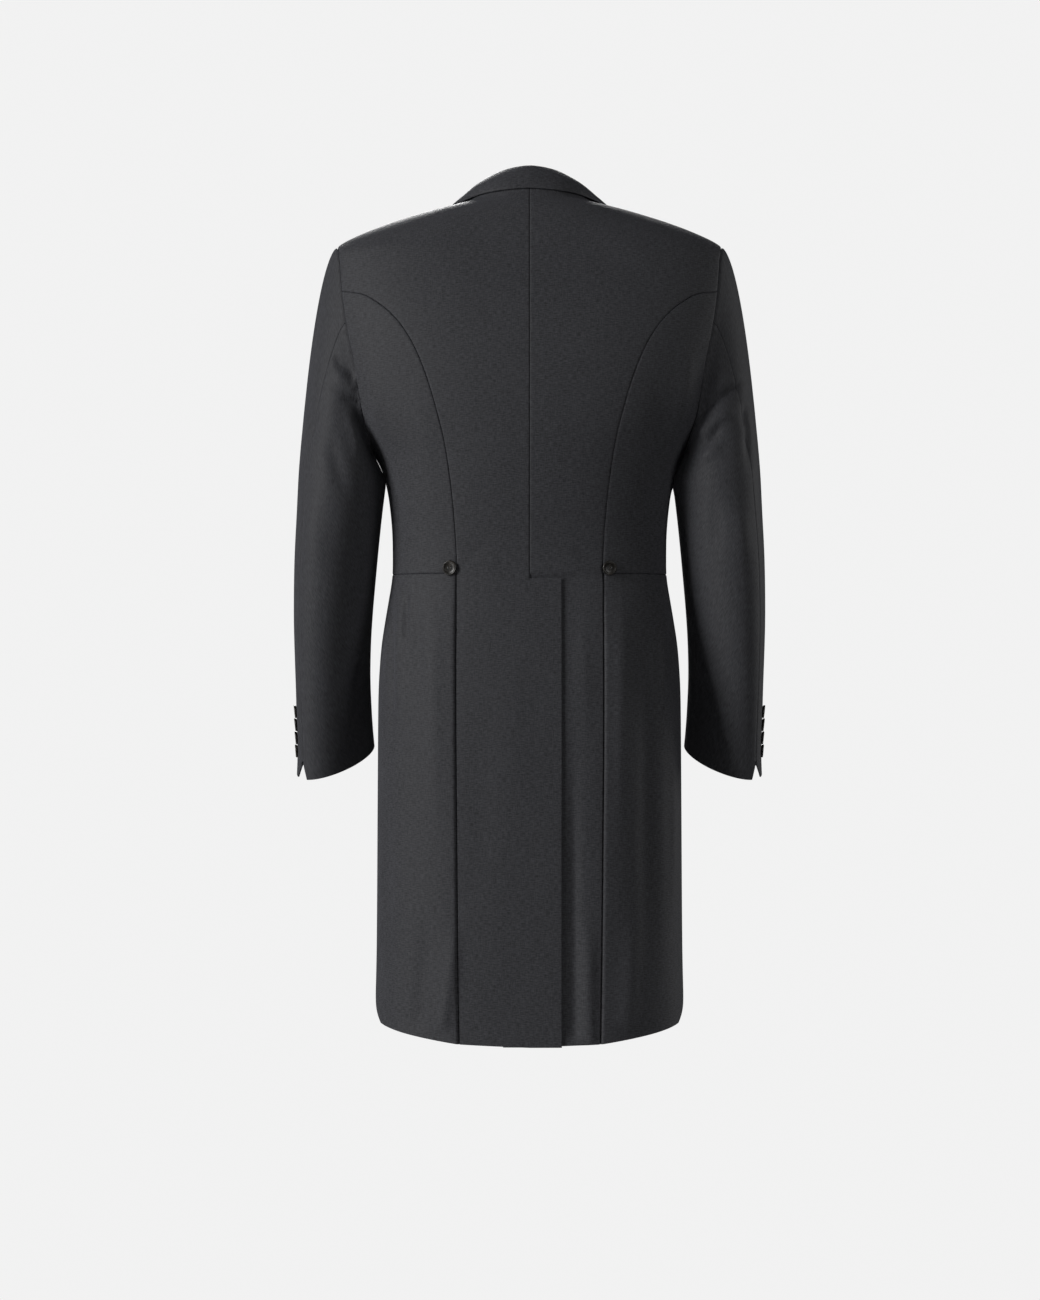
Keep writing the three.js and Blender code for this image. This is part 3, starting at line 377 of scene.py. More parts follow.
def fold(line, height, width, start, end):
    """A soft ridge, or a trough where height is below zero, that dies away towards both ends."""
    FOLDS.append((np.asarray(line), height, width, start, end))


def beside(points, line, reach):
    """Which points lie in the box that holds a line, made wider all round."""
    return np.all((points > line.min(0) - reach) & (points < line.max(0) + reach), axis=1)


def worked(points):
    """How far the cloth stands out of the figure or dips into it at each point."""
    flat = points.reshape(-1, 3)
    out = np.zeros(len(flat))
    for line, depth, width in SEAMS:
        inside = beside(flat, line, SEAM_REACH * width)
        gap, _ = near_line(flat[inside], line)
        out[inside] -= depth * np.exp(-((gap / width) ** 2))
    for line, height, width, start, end in FOLDS:
        inside = beside(flat, line, FOLD_REACH * width)
        gap, share = near_line(flat[inside], line)
        fade = ease(share / max(start, 1e-6)) * ease((1 - share) / max(end, 1e-6))
        out[inside] += height * fade * np.exp(-((gap / width) ** 2))
    return out.reshape(points.shape[:-1])


# %% The shell of a panel
def linked(name, data):
    """A new object in the scene."""
    made = bpy.data.objects.new(name, data)
    bpy.context.collection.objects.link(made)
    return made


def cloth_mesh(name, vertices, faces, uv, finish):
    """A smooth mesh from points in millimetres, with its thread counts as a UV map."""
    mesh = bpy.data.meshes.new(name)
    mesh.from_pydata((vertices * MM).tolist(), [], faces)
    mesh.update()
    layer = mesh.uv_layers.new(name="thread")
    corner = np.empty(len(mesh.loops), np.int32)
    mesh.loops.foreach_get("vertex_index", corner)
    layer.data.foreach_set("uv", uv[corner].astype(np.float32).ravel())
    mesh.shade_smooth()
    mesh.materials.append(finish)
    return linked(name, mesh)


def rim_directions(points, normals, border):
    """For each point of the border, the way out of the panel."""
    out = {}
    for a, b in border:
        along = points[b] - points[a]
        for k in (a, b):
            out[k] = out.get(k, 0) + np.cross(along, normals[k])
    return {k: unit(v) for k, v in out.items()}


CUTS = {}


def widest(points, present):
    """The longest run across a grid of points, over the cells that are present, in metres."""
    step = np.linalg.norm(np.diff(points, axis=1), axis=2)
    met = np.zeros(step.shape, bool)
    met[:-1] |= present
    met[1:] |= present
    return (step * met).sum(1).max() * MM


def note_cut(name, points, quads, wide, long):
    """Keep the flat size of a piece: its widest, its longest and its area, in metres."""
    first, second = points[quads[:, 2]] - points[quads[:, 0]], points[quads[:, 3]] - points[quads[:, 1]]
    area = np.linalg.norm(np.cross(first, second), axis=1).sum() / 2 * MM * MM
    CUTS[name] = (wide, long, min(area, wide * long))
    print(name, "cut", round(wide * 1000), "x", round(long * 1000), "mm,", round(area, 4), "m2")


def shell(name, points, normals, uv, present=None, finish=None, inset=RIM):
    """A closed wall of cloth behind a grid of points."""
    rows, cols = points.shape[:2]
    if present is None:
        present = np.ones((rows - 1, cols - 1), bool)
    wide, long = widest(points, present), widest(points.transpose(1, 0, 2), present.T)
    points, normals, uv = points.reshape(-1, 3), normals.reshape(-1, 3), uv.reshape(-1, 2)
    r, c = np.nonzero(present)
    first = r * cols + c
    quads = np.stack([first, first + cols, first + cols + 1, first + 1], -1)
    cross = np.cross(points[quads[:, 2]] - points[quads[:, 0]], points[quads[:, 3]] - points[quads[:, 1]])
    if (cross * normals[quads].mean(1)).sum() < 0:
        quads = quads[:, ::-1]
    wide, long = np.minimum((wide, long), np.ptp(uv[np.unique(quads)], axis=0))
    note_cut(name, points, quads, wide, long)
    edges = np.concatenate([quads[:, [k, (k + 1) % 4]] for k in range(4)])
    seen = {(int(a), int(b)) for a, b in edges}
    border = [(a, b) for a, b in seen if (b, a) not in seen]
    way = rim_directions(points, normals, border)
    used = np.unique(quads)
    number = {int(k): i for i, k in enumerate(used)}
    moved = points.copy()
    for k, out in way.items():
        moved[k] = moved[k] - out * inset
    outer = moved[used]
    inner = outer - normals[used] * CLOTH
    middle, middle_of = [], {}
    for k, out in way.items():
        middle_of[k] = 2 * len(used) + len(middle)
        middle.append(moved[k] - normals[k] * CLOTH / 2 + out * RIM)
    vertices = np.concatenate([outer, inner, np.array(middle)])
    shift = len(used)
    front = np.vectorize(number.get)(quads)
    faces = front.tolist() + (front[:, ::-1] + shift).tolist()
    for a, b in border:
        i, j = number[a], number[b]
        faces.append([j, i, middle_of[a], middle_of[b]])
        faces.append([middle_of[b], middle_of[a], i + shift, j + shift])
    return cloth_mesh(name, vertices, faces, np.concatenate([uv[used], uv[used], uv[list(way)]]), finish)


# %% [markdown]
# ## The seams and folds of this coat
#
# The lines below are laid on the figure before any cloth is made. Each fold has its own height, width and
# length: a coat that nobody is pulling at still shows a hollow behind the armhole, a few drags under the
# waist seam where the skirt's fullness starts, and creases inside the elbows.

# %% Lay the seams
back_line = BACK_SEAM(np.linspace(0, BACK_ROWS, 90))
back_seam_turn = turn_of(back_line[:, 0], back_line[:, 1], True)
loop_a = np.linspace(-180, 180, 181)
UNDERARM_TURN, WAIST_SEAM_END = 97, 196
SHOWN_LOOP = 112                        # under the arm the seam lies flat, or it would gape
pleat_turn = float(turn_of(PLEAT_X, WAIST, True))

seam(surface(0, np.linspace(NECK_TOP, VENT_TOP, 60)), 0.5, 1.0, mirrored=False)
seam(surface(back_seam_turn, back_line[:, 1]), 0.6, 1.1)
seam(surface(SIDE, ridge_z[::40].clip(TIP_Z, NECK_Z)), 0.4, 1.0)
seam(surface(armhole_turn(loop_a), armhole_z(loop_a)), 0.2, 1.5)
shown_a = loop_a[np.abs(loop_a) < SHOWN_LOOP]
seam(surface(armhole_turn(shown_a), armhole_z(shown_a)), 1.1, 1.5)
seam(surface(np.linspace(pleat_turn, WAIST_SEAM_END, 90), WAIST), 0.6, 1.1)
seam(surface(np.linspace(UNDERARM_TURN, SIDE, 30), np.linspace(WAIST, ARMHOLE_LOW, 30)), 0.5, 1.0)
print("seams", len(SEAMS))

# %% Lay the folds of the body and the skirt
def from_behind(*stops):
    """A line on the back of the figure through points of distance from the middle and height."""
    at = path(*stops)(np.linspace(0, len(stops) - 1, 24))
    line = surface(turn_of(abs(at[:, 0]), at[:, 1], True), at[:, 1])
    line[:, 0] *= np.where(at[:, 0] < 0, -1, 1)
    return line


def from_ahead(*stops):
    """The same on the front of the figure."""
    at = from_behind(*stops)
    turn = turn_of(abs(at[:, 0]), at[:, 2], False)
    return surface(turn, at[:, 2]) * [math.copysign(1, stops[0][0]), 1, 1]


# Each row: the line's stops, its height, half width, and the share over which each end dies away.
for *stops, height, width, start, end in (
    # The left skirt, from the pleat to the side: a short sharp crease among long soft ones.
    ((140.5, -446), (141, -480), (140, -512), -2.8, 3, 0.2, 0.4),
    ((148, -446), (149, -520), (147, -610), 2.5, 6.5, 0.25, 0.6),
    ((159, -448), (158, -540), (155, -660), -2.8, 6, 0.25, 0.6),
    ((128, -444), (127, -500), (124, -585), -2.0, 7, 0.3, 0.6),
    ((111, -440), (109, -560), (106, -760), 2.1, 12, 0.3, 0.5),
    ((84, -815), (89, -880), (99, -945), 4.2, 9, 0.5, 0.1),
    ((112, -800), (120, -880), (127, -945), -2.7, 12, 0.5, 0.1),
    ((160, -640), (162, -780), (160, -900), -2.4, 12, 0.5, 0.3),
    # The back and the underlap beside the vent
    ((-50, -560), (-49, -760), (-49, -960), -3.9, 7.5, 0.6, 0.05),
    ((-66, -800), (-66, -880), (-67, -960), 3.4, 8, 0.5, 0.05),
    ((-60, -450), (-61, -540), (-62, -640), 1.5, 9, 0.4, 0.5),
    ((18, -480), (20, -600), (16, -720), 1.2, 22, 0.5, 0.5),
    ((58, -560), (55, -700), (58, -860), -1.4, 18, 0.5, 0.5),
    # The right skirt
    ((-104, -436), (-103, -560), (-101, -760), 2.7, 10, 0.3, 0.5),
    ((-133, -450), (-134, -640), (-134, -900), -4.5, 14, 0.35, 0.35),
    ((-152, -452), (-154, -520), (-153, -640), 2.1, 7, 0.3, 0.6),
    ((-118, -780), (-114, -860), (-110, -945), 3.0, 12, 0.6, 0.1),
    ((-162, -560), (-165, -700), (-163, -860), 2.2, 9, 0.5, 0.5),
    # The body: swells and hollows under the shoulder blades and beside the armholes
    ((180, -172), (176, -232), (164, -290), 2.4, 11, 0.5, 0.5),
    ((191, -232), (178, -294), (166, -345), 1.8, 5, 0.35, 0.5),
    ((157, -300), (149, -350), (144, -412), -2.2, 10, 0.5, 0.5),
    ((130, -200), (118, -280), (110, -390), 1.4, 12, 0.5, 0.5),
    ((-182, -150), (-178, -215), (-166, -285), 3.1, 13, 0.5, 0.5),
    ((-150, -190), (-146, -280), (-139, -400), -3.8, 14, 0.45, 0.4),
    ((-165, -300), (-156, -350), (-151, -405), 1.9, 8, 0.4, 0.5),
    ((40, -385), (60, -402), (78, -414), -0.8, 6, 0.5, 0.4),
    ((-44, -392), (-62, -406), (-80, -415), -0.8, 6, 0.5, 0.4),
    ((60, -46), (120, -62), (180, -92), 1.2, 16, 0.5, 0.5),
    ((-60, -46), (-120, -66), (-180, -100), 1.2, 16, 0.5, 0.5),
):
    fold(from_behind(*stops), height, width, start, end)
for *stops, height, width, start, end in (
    # The front, which pulls a little towards its one button
    ((24, -396), (70, -380), (118, -352), 1.6, 7, 0.3, 0.6),
    ((30, -412), (74, -416), (112, -424), -1.2, 6, 0.3, 0.5),
    ((-32, -392), (-72, -372), (-112, -340), 1.3, 7, 0.3, 0.6),
    ((-34, -410), (-80, -412), (-120, -420), -1.0, 6, 0.3, 0.5),
    ((150, -200), (158, -260), (140, -330), -1.6, 13, 0.5, 0.5),
    ((-154, -190), (-158, -250), (-143, -320), -1.9, 13, 0.5, 0.5),
    ((150, -448), (157, -540), (160, -640), 1.8, 9, 0.3, 0.6),
    ((-146, -452), (-155, -530), (-160, -620), 1.5, 8, 0.3, 0.6),
):
    fold(from_ahead(*stops), height, width, start, end)
print("folds", len(FOLDS))

# %% [markdown]
# ## The back
#
# The two backs are narrow at the waist and wide at the shoulder, joined down the middle as far as the
# hook of the vent. Below it the left back runs on past the middle as a flap over the right back's
# underlap. The mesh is one grid with the flap's cells left out above the hook.

# %% Back panels
CHEST = -160
FLAP, UNDERLAP, LAP = 36, 30, 2.6


def leaned(inner, outer, share, lean):
    """Heights along a row that follows the shoulder near the top and is level at the chest."""
    x = mix(inner[0], outer[0], share)
    chord = mix(shoulder_line(inner[0]), shoulder_line(outer[0]), share)
    return mix(inner[1], outer[1], share) + lean * (shoulder_line(x) - chord)


def lean_at(x, z):
    return float(np.clip((z - CHEST) / (shoulder_line(x) - CHEST), 0, 1))


def armhole_place(a):
    """The armhole as distance from the middle and height."""
    turn, z = float(armhole_turn(a)), float(armhole_z(a))
    return float(surface(turn, z)[0]), z


def back_row(end, across):
    lean = lean_at(*end)
    centre = mix(CHEST, float(shoulder_line(0)), lean) if lean > 0 else end[1]
    share = across / max(end[0], 1e-6)
    z = leaned((0, centre), end, np.clip(share, 0, 1), lean)
    turn = turn_of(across, z, True)
    return np.stack([turn, z], -1)


def shared_lift(x, z):
    return -LAP * ease((FLAP + 45 - x) / 40) * ease((VENT_TOP + 7 - z) / 6)


def back_grid(over):
    width = FLAP if over else UNDERLAP
    ends = [armhole_place(a) for a in np.linspace(0, CORNER, 40)]
    corner = len(ends) - 1
    ends += [tuple(p) for p in BACK_SEAM(np.linspace(0, BACK_ROWS, 170))[1:]]
    hook = len(ends)
    pleat_rows = PLEAT(np.linspace(0, PLEAT_ROWS, 220))
    ends += [(PLEAT_X, VENT_TOP)] + [tuple(p) for p in pleat_rows if p[1] < VENT_TOP - 1]
    main, flap = [], []
    for k, end in enumerate(ends):
        drop = 3 * ease((k - len(ends) + 25) / 24)
        across = end[0] * np.unique(np.r_[np.linspace(0, 1, 60), NECK_X / TIP_X])
        row = back_row(end, across)
        if k == 0:
            row[across >= NECK_X, 0] = SIDE
        row[:, 1] -= drop * (1 - across / end[0])
        side = back_row(end, np.linspace(-width, 0, 12))
        side[:, 1] -= drop
        main.append(row)
        flap.append(side)
    flap = respaced(np.array(flap), on_body, True, False)
    main = respaced(np.array(main), on_body)
    joint = flap.shape[1] - 1
    grid = np.concatenate([flap, main[:, 1:]], axis=1)
    grid, stops = respaced_down(grid, on_body, (corner, hook))
    present = np.ones((len(grid) - 1, grid.shape[1] - 1), bool)
    present[:stops[1], :joint] = False
    return grid, present


def panel(name, places, lift, mirrored, present=None, finish=None):
    """Cloth on a grid of places, worked by the seams and folds that it meets."""
    turn, z = places[..., 0], places[..., 1]
    points, normals = surface(turn, z), outward(turn, z)
    points = points + normals * np.asarray(lift)[..., None]
    uv = thread_count(turn, z)
    if mirrored:
        points, normals, uv = points * FLIP, normals * FLIP, uv * [-1, 1]
    points = points + normals * worked(points)[..., None]
    piece = shell(name, points, normals, uv, present, finish)
    print(name, len(piece.data.polygons), "faces")
    return piece


def back(name, over, finish):
    places, present = back_grid(over)
    x = surface(places[..., 0], places[..., 1])[..., 0]
    lift = 0 * x if over else shared_lift(x, places[..., 1])
    return panel(name, places, lift, not over, present, finish)


# %% [markdown]
# ## Side bodies, foreparts and skirts
#
# The side body fills the space between the curved back seam and the underarm seam. The forepart goes from
# there to the front edge and over the shoulder. The skirt hangs from the waist seam, dives under the back
# at the pleat, and is cut away at the front in one long curve.

# %% Side body
SIDE_ROWS = np.r_[0.03, 0.08, np.linspace(0.15, BACK_ROWS, 220)]
SIDE_UNDERARM = 7                       # the row of the side body where its underarm seam starts
UNDERARM_ROWS = path((0, ARMHOLE_LOW), (1, -310), (2, -345), (3, -385), (4, WAIST))


def underarm(row):
    z = UNDERARM_ROWS(row)[..., 1]
    return mix(UNDERARM_TURN, SIDE, (z - WAIST) / (ARMHOLE_LOW - WAIST)), z


def ahead_edge(row):
    """The side body's and forepart's shared edge: the armhole down to its lowest point, then the seam."""
    if row <= SIDE_UNDERARM:
        a = np.interp(row, range(SIDE_UNDERARM + 1), ARMHOLE["turn"][3:])
        return float(armhole_turn(a)), float(armhole_z(a))
    turn, z = underarm(row - SIDE_UNDERARM)
    return float(turn), float(z)


def side_body(name, mirrored, finish):
    rows = []
    for row in SIDE_ROWS:
        x, z = BACK_SEAM(row)
        start = np.array([float(turn_of(x, z, True)), z])
        end = np.array(ahead_edge(row))
        share = np.linspace(0, 1, 40)[:, None]
        rows.append(mix(start, end, share))
    grid = respaced(np.array(rows), on_body)
    stop = int(np.argmin(abs(SIDE_ROWS - SIDE_UNDERARM)))
    grid, _ = respaced_down(grid, on_body, (stop,))
    return panel(name, grid, 0 * grid[..., 0], mirrored, finish=finish)


# %% Forepart
FRONT_OVERLAP, ROLL_START = 18, -375
GORGE_X, GORGE_Z = 54, -45
NECK_EDGE = path((NECK_X, NECK_Z), (69, -9), (64, -24), (GORGE_X, GORGE_Z))
GORGE_ROW, FRONT_UNDERARM, FRONT_LAST = 3, 10, 14
FRONT_ROWS = curve(
    range(GORGE_ROW, FRONT_LAST + 1),
    (GORGE_Z, -90, -135, -180, -225, -270, -310, -345, -372, -386, -405, WAIST),
)


def front_edge_x(z):
    if z < ROLL_START:
        return -FRONT_OVERLAP
    return mix(GORGE_X, 2 - FRONT_OVERLAP, (GORGE_Z - z) / (GORGE_Z - ROLL_START))


def front_step(x, z, over):
    """Near the middle the left front stands out over the right one."""
    side = 1 if over else -1
    return side * LAP / 2 * ease((90 - x) / 50) * ease((-200 - z) / 90)


def forepart_ends(row):
    if row <= GORGE_ROW:
        inner = tuple(NECK_EDGE(row))
    else:
        z = float(FRONT_ROWS(row))
        inner = (front_edge_x(z), z)
    if row <= FRONT_UNDERARM:
        a = float(np.interp(row, range(FRONT_UNDERARM + 1), ARMHOLE["turn"]))
        turn, z = float(armhole_turn(-a)), float(armhole_z(-a))
    else:
        turn, z = (float(v) for v in underarm(row - FRONT_UNDERARM))
    return inner, turn, z


def forepart(name, over, finish):
    rows, share = [], np.linspace(0, 1, 60)
    above, beside_arm, below = 50, 130, 60          # rows to the gorge, the underarm and the waist
    counts = np.r_[
        np.linspace(0, GORGE_ROW, above), np.linspace(GORGE_ROW, FRONT_UNDERARM, beside_arm)[1:],
        np.linspace(FRONT_UNDERARM, FRONT_LAST, below)[1:],
    ]
    for row in counts:
        inner, to_turn, to_z = forepart_ends(row)
        outer = (float(surface(to_turn, to_z)[0]), to_z)
        lean = lean_at(*outer)
        z = leaned(inner, outer, share, lean)
        x = mix(inner[0], outer[0], share)
        from_turn = SIDE if row == 0 else float(turn_of(inner[0], inner[1], False))
        by_width = np.full(60, SIDE) if row == 0 else turn_of(x, z, False)
        by_turn = mix(from_turn, to_turn, share)
        turn = mix(by_width, by_turn, np.clip(row / 6, 0, 1))
        turn[[0, -1]] = from_turn, to_turn
        rows.append(np.stack([turn, z], -1))
    grid = respaced(np.array(rows), on_body)
    grid, _ = respaced_down(grid, on_body, (above - 1, above + beside_arm - 2))
    x = surface(grid[..., 0], grid[..., 1])[..., 0]
    return panel(name, grid, front_step(x, grid[..., 1], over), not over, finish=finish)


# %% Skirt
PLEAT_DEPTH, PLEAT_TURN, PLEAT_STAND, PLEAT_SPREAD = 24, 3, 1.8, 52


def skirt(name, over, finish):
    fold_rows, panel_rows = [], []
    for row in np.linspace(0, PLEAT_ROWS, 240):
        (pleat_x, pleat_z), (front_turn, front_z) = PLEAT(row), SKIRT_FRONT(row)
        seam_turn = float(turn_of(pleat_x, pleat_z, True))
        under = pleat_x + np.linspace(-PLEAT_DEPTH, 0.3, 12)
        fold_rows.append(np.stack([turn_of(under, np.full(12, pleat_z), True), np.full(12, pleat_z)], -1))
        start = fold_rows[-1][-1, 0]
        turn = np.linspace(start, front_turn, 120)
        z = mix(pleat_z, front_z, (turn - seam_turn) / (front_turn - seam_turn))
        panel_rows.append(np.stack([turn, z], -1))
    under = respaced(np.array(fold_rows), on_body, False, True)
    shown = respaced(np.array(panel_rows), on_body, True, True)
    grid = np.concatenate([under, shown[:, 1:]], axis=1)
    grid, _ = respaced_down(grid, on_body)
    x = surface(grid[..., 0], grid[..., 1])[..., 0]
    edge = np.interp(-grid[..., 1], *zip(*[(-z, x) for x, z in PLEAT(np.linspace(0, PLEAT_ROWS, 60))]))
    roll = ease((x - edge - 0.2) / PLEAT_TURN)
    stand = PLEAT_STAND * (1 - ease((x - edge) / PLEAT_SPREAD)) * ease((WAIST - 14 - grid[..., 1]) / 60)
    lift = np.where(grid[..., 0] < SIDE, mix(-LAP, stand, roll), 0)
    lift = np.where(grid[..., 0] > 120, front_step(x, grid[..., 1], over), lift)
    return panel(name, grid, lift, not over, finish=finish)


# %% [markdown]
# ## Sleeves
#
# A tailored sleeve has two parts. The wide top sleeve runs over the shoulder and down the outside, the
# narrow under sleeve hides against the body, and both are cut with a bend at the elbow, so the sleeve
# hangs forward like an arm at rest. Its head leaves the armhole level with the shoulder and turns down.

# %% Sleeve tables
BICEPS, CUFF = -325, -643
SLEEVE = columns(
    "z x y wide deep tip skew hindarm",
    (-325, 217.4, 2, 50.3, 69, 0, 0.12, 41), (-360, 220.3, 2, 48.9, 68, 0.08, 0.18, 38.5),
    (-400, 223.4, 0.5, 47.8, 66.5, 0.2, 0.25, 36.5), (-440, 225.8, -3, 46.4, 65, 0.35, 0.31, 35.5),
    (-480, 227.7, -8, 44.7, 63, 0.5, 0.36, 35), (-520, 228.6, -15, 43, 60, 0.65, 0.4, 35),
    (-560, 228.8, -24, 42.1, 56.5, 0.8, 0.43, 35.5), (-600, 228, -34, 42.3, 53, 0.92, 0.45, 36),
    (-624.5, 227.5, -41, 43, 51.3, 0.97, 0.46, 36), (CUFF, 227.3, -46, 44.3, 50, 1, 0.46, 36),
)
CUFF_SIDE, CUFF_BACK = -14.5, -16
FOREARM, FOREARM_START, HINDARM = -120, -133, 68
SLIT_TOP, SLIT = -624.5, {-1: -18, 0: 0, 1: 10}
arm = {name: softened(SLEEVE["z"], SLEEVE[name], 8, 1000) for name in SLEEVE if name != "z"}


def hanging(turn, level):
    """The hanging sleeve: at every level a tipped oval, its outer side back and its inner side forward."""
    across, behind = np.cos(np.radians(turn)), np.sin(np.radians(turn))
    drop = arm["tip"](level) * (CUFF_SIDE * across + CUFF_BACK * behind)
    x = arm["x"](level) + arm["wide"](level) * across
    y = arm["y"](level) + arm["deep"](level) * behind + arm["skew"](level) * arm["wide"](level) * across
    return np.stack(np.broadcast_arrays(x, y, level + drop), -1)


def sleeve_turn(a, level, side=0):
    """Where a step round the armhole comes out at a level, with the cuff's slit on either side."""
    hind = arm["hindarm"](level) + SLIT[side] * np.clip((SLIT_TOP - level) / (SLIT_TOP - CUFF), 0, 1)
    top = mix(FOREARM, hind, (a - FOREARM_START) / (HINDARM - FOREARM_START))
    under = mix(hind, FOREARM + 360, (a - HINDARM) / (FOREARM_START + 360 - HINDARM))
    return np.where(a <= HINDARM, top, under)


def armhole_start(a):
    """Where the sleeve starts, which way it leaves and which way its cloth faces."""
    point = surface(armhole_turn(a), armhole_z(a))
    out = outward(armhole_turn(a), armhole_z(a))
    along = surface(armhole_turn(a + 4), armhole_z(a + 4)) - surface(armhole_turn(a - 4), armhole_z(a - 4))
    flat = unit(np.cross(along, out))
    height = np.cos(np.radians(a))
    bend = np.radians(85 * ease((-0.1 - height) / 0.75))[:, None]
    leave = flat * np.cos(bend) + out * np.sin(bend)
    facing = out * np.cos(bend) - flat * np.sin(bend)
    reach = mix(16, np.where(height > 0, 25, 9), height ** 2)
    return point + out * 0.6 * np.sin(bend), leave, facing, reach[:, None]


def crown(a, share):
    """Points of the sleeve head, between the armhole and the hanging sleeve."""
    point, leave, _, reach = armhole_start(a)
    turn = sleeve_turn(a, BICEPS)
    end = hanging(turn, BICEPS)
    up = unit(end - hanging(turn, BICEPS - 8))
    drop = np.linalg.norm(point - end, axis=1)[:, None]
    control = [point, point + leave * reach, end + up * drop * 0.36, end]
    weight = [(1 - share) ** 3, 3 * share * (1 - share) ** 2, 3 * share ** 2 * (1 - share), share ** 3]
    return sum(w * c for w, c in zip(weight, control))


def sleeve_side(a, side):
    """Half a sleeve as rows of points from the armhole to the cuff."""
    rows = [crown(a, share) for share in np.linspace(0, 1, 90) ** 1.3]
    rows += [hanging(sleeve_turn(a, level, side), level) for level in np.linspace(BICEPS, CUFF, 100)[1:]]
    return np.array(rows)


def sleeve_halves():
    """Both halves with normals that agree along their seams."""
    degrees = 201 / 1.05
    count = int(np.ceil(degrees / STEP))
    top_a = FOREARM_START + ticks(HINDARM - FOREARM_START, count, True, True)
    under_a = HINDARM + ticks(FOREARM_START + 360 - HINDARM, int(count * 0.8), True, True)
    whole = np.concatenate([sleeve_side(top_a, -1), sleeve_side(under_a, 1)], axis=1)
    whole, _ = respaced_down(whole, lambda row: row)
    split = len(top_a)
    after, before = np.roll(whole, -1, axis=1), np.roll(whole, 1, axis=1)
    after[:, -1], before[:, 0] = whole[:, 1], whole[:, -2]
    after[:, split - 1], before[:, split] = whole[:, split + 1], whole[:, split - 2]
    normals = unit(np.cross(np.gradient(whole, axis=0), after - before))
    normals[0] = armhole_start(np.r_[top_a, under_a])[2]
    return (whole[:, :split], normals[:, :split]), (whole[:, split:], normals[:, split:])


def sleeve(side, mirrored, finish):
    pieces = []
    for half, (points, normals) in zip(("top_sleeve", "under_sleeve"), sleeve_halves()):
        across, down = travelled(points, 1), travelled(points, 0)
        middle = across[:, across.shape[1] // 2][:, None]
        uv = np.stack([across - middle, down], -1) * MM
        if mirrored:
            points, normals = points * FLIP, normals * FLIP
        points = points + normals * worked(points)[..., None]
        piece = shell(f"{half}_{side}_cloth", points, normals, uv, finish=finish, inset=0.25)
        print(piece.name, len(piece.data.polygons), "faces")
        pieces.append(piece)
    return pieces


levels = np.linspace(BICEPS, CUFF, 60)
above_slit = levels[levels > SLIT_TOP]
seam(hanging(arm["hindarm"](above_slit), above_slit), 0.45, 1.1)
seam(hanging(FOREARM, levels), 0.4, 1.1)
for a in (HINDARM, FOREARM_START):
    head = [crown(np.array([float(a)]), share)[0] for share in np.linspace(0, 1, 40)]
    seam(np.array(head), 0.25, 1.1)

# %% Lay the folds of the sleeves
sleeve_cloud = sleeve_side(np.linspace(FOREARM_START, FOREARM_START + 360, 181), 0).reshape(-1, 3)
is_behind = sleeve_cloud[:, 1] > arm["y"](sleeve_cloud[:, 2].clip(CUFF, BICEPS))


def on_sleeve(behind, *stops):
    """A line on the sleeve through points of distance from the middle and height."""
    wanted = path(*stops)(np.linspace(0, len(stops) - 1, 9))
    cloud = sleeve_cloud[is_behind == behind] * [math.copysign(1, stops[0][0]), 1, 1]
    found = [cloud[np.argmin(((cloud[:, [0, 2]] - place) ** 2).sum(1))] for place in wanted]
    return path(*found)(np.linspace(0, len(found) - 1, 30))


# Under the arm, where sleeve and side body press together
for side, height, start, end in ((1, 1.8, 0.05, 0.9), (-1, 2.7, 0.15, 0.5)):
    line = np.array([(side * 178, 1, -282), (side * 175, 2, -298), (side * 169, 1, -314)])
    fold(line, height, 8, start, end)
fold(np.array([(-170, -1, -302), (-167, -2, -322), (-166, -2, -338)]), 1.4, 8, 0.5, 0.5)
for *stops, height, width, start, end in (
    # Behind, the left sleeve: two drags from the armhole, the hollow over the armpit, creases at the elbow
    ((226, -178), (213, -189), (198, -204), -3.2, 4, 0.3, 0.1),
    ((234, -186), (215, -204), (197, -219), 2.8, 6, 0.5, 0.1),
    ((258, -222), (249, -255), (237, -288), -2.2, 8, 0.5, 0.5),
    ((220, -224), (208, -228), (194, -232), -2.8, 4, 0.5, 0.05),
    ((209, -240), (199, -274), (194, -306), 3.0, 6, 0.4, 0.4),
    ((228, -262), (220, -300), (208, -350), -3.0, 8, 0.4, 0.5),
    ((250, -330), (246, -390), (240, -450), 2.4, 12, 0.5, 0.5),
    ((192, -498), (197, -522), (206, -552), 3.0, 5, 0.4, 0.5),
    ((194, -514), (200, -538), (209, -564), -2.6, 5, 0.4, 0.5),
    ((193, -562), (199, -576), (208, -594), 2.2, 5, 0.4, 0.5),
    # Behind, the right sleeve, which creases more
    ((-195, -246), (-219, -223), (-247, -208), -5.6, 4.5, 0.3, 0.4),
    ((-195, -270), (-214, -252), (-238, -230), 4.6, 7, 0.1, 0.5),
    ((-198, -284), (-209, -268), (-226, -252), -4.2, 5, 0.4, 0.5),
    ((-192, -300), (-206, -290), (-224, -281), 3.6, 6, 0.3, 0.5),
    ((-245, -225), (-249, -265), (-252, -318), -3.4, 6, 0.3, 0.5),
    ((-232, -330), (-240, -375), (-244, -430), 2.6, 11, 0.5, 0.5),
    ((-202, -222), (-200, -236), (-198, -252), -2.6, 3.5, 0.5, 0.3),
    ((-206, -330), (-212, -372), (-214, -420), -2.2, 9, 0.4, 0.5),
    ((-193, -514), (-198, -536), (-206, -562), 3.0, 5, 0.4, 0.5),
    ((-195, -532), (-201, -552), (-209, -576), -2.6, 5, 0.4, 0.5),
):
    fold(on_sleeve(True, *stops), height, width, start, end)
